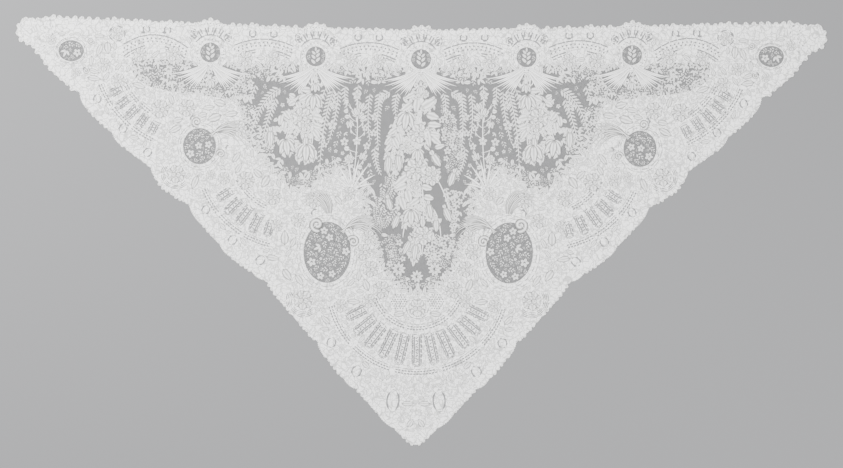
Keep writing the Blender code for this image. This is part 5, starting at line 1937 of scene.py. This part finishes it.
def thread_tree():
    """Geometry Nodes: a round thread along each line."""
    tree, start = geometry_tree("outline_thread", ("Thickness", "Float"), ("Sides", "Int"))
    path = wired(tree, "GeometryNodeMeshToCurve", {"Mesh": start["Geometry"]})
    half = wired(tree, "ShaderNodeMath", {0: start["Thickness"], 1: 0.5}, operation="MULTIPLY")
    ring = wired(tree, "GeometryNodeCurvePrimitiveCircle", {
        "Radius": half.outputs[0], "Resolution": start["Sides"]})
    sweep = wired(tree, "GeometryNodeCurveToMesh", {
        "Curve": path.outputs["Curve"], "Profile Curve": ring.outputs["Curve"], "Fill Caps": True})
    return finish(tree, start, sweep.outputs["Mesh"])


def right_hand_lines():
    """Lines of raised thread, right hand: round the windows, the rings, the ovals and the fans, and along the bays.
    """
    lines = []
    for u, v, half_u, half_v, width in RINGS:
        for more in (0.18, width + 0.1):
            lines.append(arc(u, v, half_u + more, half_v + more, 0, 360, 49))
    for index in (3, 4):
        middle = (index - 2) * BAY
        v = top_line(middle) - MEDALLION_DROP
        lines.append(arc(middle, v, MEDALLION_NET_R + 0.2, MEDALLION_NET_R + 0.2, 0, 360, 33))
        lines.append(arc(middle, v, 5.02, 5.02, 0, 360, 41))
    for u, v, half_u, half_v, turn in OVALS:
        lines.append(arc(u, v, half_u * 0.5, half_v * 0.6, 0, 360, 13))
    for fan in FANS[:2]:
        lines += fan_lines(*fan)
    for middle, broad, sag in BAYS:
        lines.append(bay_arc(middle, 4.28, 9.7 * broad, sag=sag))
        lines.append(bay_arc(middle, 6.4, 9.2 * broad, sag=sag))
    return lines


def fan_lines(u, v, radius, first, last, windows, length, width, inner, outer):
    """Threads between the windows of a fan and along its bands."""
    lines = []
    step = (last - first) / (windows - 1)
    for i in range(windows + 1):
        turn = first + step * (i - 0.5)
        lines.append([polar(u, v, radius - length * 0.5, turn), polar(u, v, radius + length * 0.5, turn)])
    for r in (inner + 1.1, outer - 1.3):
        lines.append(arc(u, v, r, r, first - step * 0.7, last + step * 0.5, 17))
    return lines


class SHAWL_OT_outline_threads(bpy.types.Operator):
    """Lay the raised threads that outline the windows, rings and fans and run along the bays"""
    bl_idname = "shawl.outline_threads"
    bl_label = "Outline threads"

    def execute(self, context):
        sizes = context.scene.shawl_sizes
        right = right_hand_lines()
        lines = right + [flipped(line) for line in right]
        v = top_line(0.0) - MEDALLION_DROP
        for r in (MEDALLION_NET_R + 0.2, 5.02):
            lines.append(arc(0.0, v, r, r, 0, 360, 41))
        lines += fan_lines(*FANS[2])
        verts = []
        edges = []
        for line in lines:
            for i, point in enumerate(line):
                x, y = place(*point)
                if i:
                    edges.append((len(verts) - 1, len(verts)))
                verts.append((x * CM, y * CM, ON_CLOTH * CM + sizes.outline_thread * 0.2))
        data = bpy.data.meshes.new("outline_threads")
        data.from_pydata(verts, edges, [])
        piece = grown("outline_threads", data, thread_tree(),
                      {"Thickness": sizes.outline_thread, "Sides": 5, "Finish": finish_named("outline_thread")})
        own(piece, "dense_lace")
        return {"FINISHED"}


class SHAWL_OT_stage(bpy.types.Operator):
    """Set out the pale floor, the soft lights and the camera straight above"""
    bl_idname = "shawl.stage"
    bl_label = "Stage"

    def execute(self, context):
        stage = context.scene.shawl_stage
        colours = context.scene.shawl_colours
        reach = 6.0
        floor = new_piece("floor", [(-reach, -reach, 0.0), (reach, -reach, 0.0), (reach, reach, 0.0),
                                    (-reach, reach, 0.0)], [(0, 1, 2, 3)], floor_material(colours.floor))
        world = bpy.data.worlds.new("soft_room")
        world.use_nodes = True
        world.node_tree.nodes["Background"].inputs["Color"].default_value = (0.95, 0.97, 1.0, 1.0)
        world.node_tree.nodes["Background"].inputs["Strength"].default_value = stage.fill
        context.scene.world = world
        for name, spot, size, share in (("key", (-2.6, 2.2, 3.4), 2.6, 1.0), ("rim", (2.8, -1.6, 3.2), 2.6, 0.35)):
            data = bpy.data.lights.new(name, "AREA")
            data.shape = "SQUARE"
            data.size = size
            data.energy = stage.key_power * share
            lamp = bpy.data.objects.new(name, data)
            lamp.location = spot
            lamp.rotation_euler = (-Vector(spot)).to_track_quat("-Z", "Y").to_euler()
            context.collection.objects.link(lamp)
        eye = bpy.data.cameras.new("camera")
        eye.lens = stage.lens
        eye.sensor_width = 36.0
        eye.clip_end = 100.0
        camera = bpy.data.objects.new("camera", eye)
        distance = stage.frame_width * stage.lens / eye.sensor_width
        camera.location = (0.0, FRAME_MIDDLE_Y, distance)
        context.collection.objects.link(camera)
        context.scene.camera = camera
        return {"FINISHED"}


# The picture's middle lies a little below the shawl's own middle
FRAME_MIDDLE_Y = -0.0112


def floor_material(colour):
    material = bpy.data.materials.new("floor_paint")
    material.use_nodes = True
    set_shader(material.node_tree.nodes["Principled BSDF"], {
        "Base Color": list(colour) + [1.0], "Roughness": 0.95, "Specular IOR Level": 0.1})
    return material


class SHAWL_PT_panel(bpy.types.Panel):
    """The steps of the shawl, in order"""
    bl_label = "Shawl"
    bl_idname = "SHAWL_PT_panel"
    bl_space_type = "VIEW_3D"
    bl_region_type = "UI"
    bl_category = "Shawl"

    def draw(self, context):
        for step in STEPS:
            self.layout.operator(step.bl_idname)


STEPS = (SHAWL_OT_dense_cloth, SHAWL_OT_net, SHAWL_OT_bouquets, SHAWL_OT_sprigs, SHAWL_OT_feathers,
         SHAWL_OT_trees, SHAWL_OT_border_flowers, SHAWL_OT_window_sprigs, SHAWL_OT_net_edge,
         SHAWL_OT_field_sprigs, SHAWL_OT_picots, SHAWL_OT_outline_threads, SHAWL_OT_stage)
GROUPS = (("shawl_sizes", ShawlSizes), ("shawl_colours", ShawlColours), ("shawl_stage", ShawlStage))


def register():
    for name, group in GROUPS:
        bpy.utils.register_class(group)
        setattr(bpy.types.Scene, name, bpy.props.PointerProperty(type=group))
    for step in STEPS:
        bpy.utils.register_class(step)
    bpy.utils.register_class(SHAWL_PT_panel)


def unregister():
    bpy.utils.unregister_class(SHAWL_PT_panel)
    for step in reversed(STEPS):
        bpy.utils.unregister_class(step)
    for name, group in reversed(GROUPS):
        delattr(bpy.types.Scene, name)
        bpy.utils.unregister_class(group)


def main():
    register()
    bpy.ops.shawl.dense_cloth()
    bpy.ops.shawl.net()
    bpy.ops.shawl.bouquets()
    bpy.ops.shawl.sprigs()
    bpy.ops.shawl.feathers()
    bpy.ops.shawl.trees()
    bpy.ops.shawl.border_flowers()
    bpy.ops.shawl.window_sprigs()
    bpy.ops.shawl.net_edge()
    bpy.ops.shawl.field_sprigs()
    bpy.ops.shawl.picots()
    bpy.ops.shawl.outline_threads()
    bpy.ops.shawl.stage()


if __name__ == "__main__":
    main()
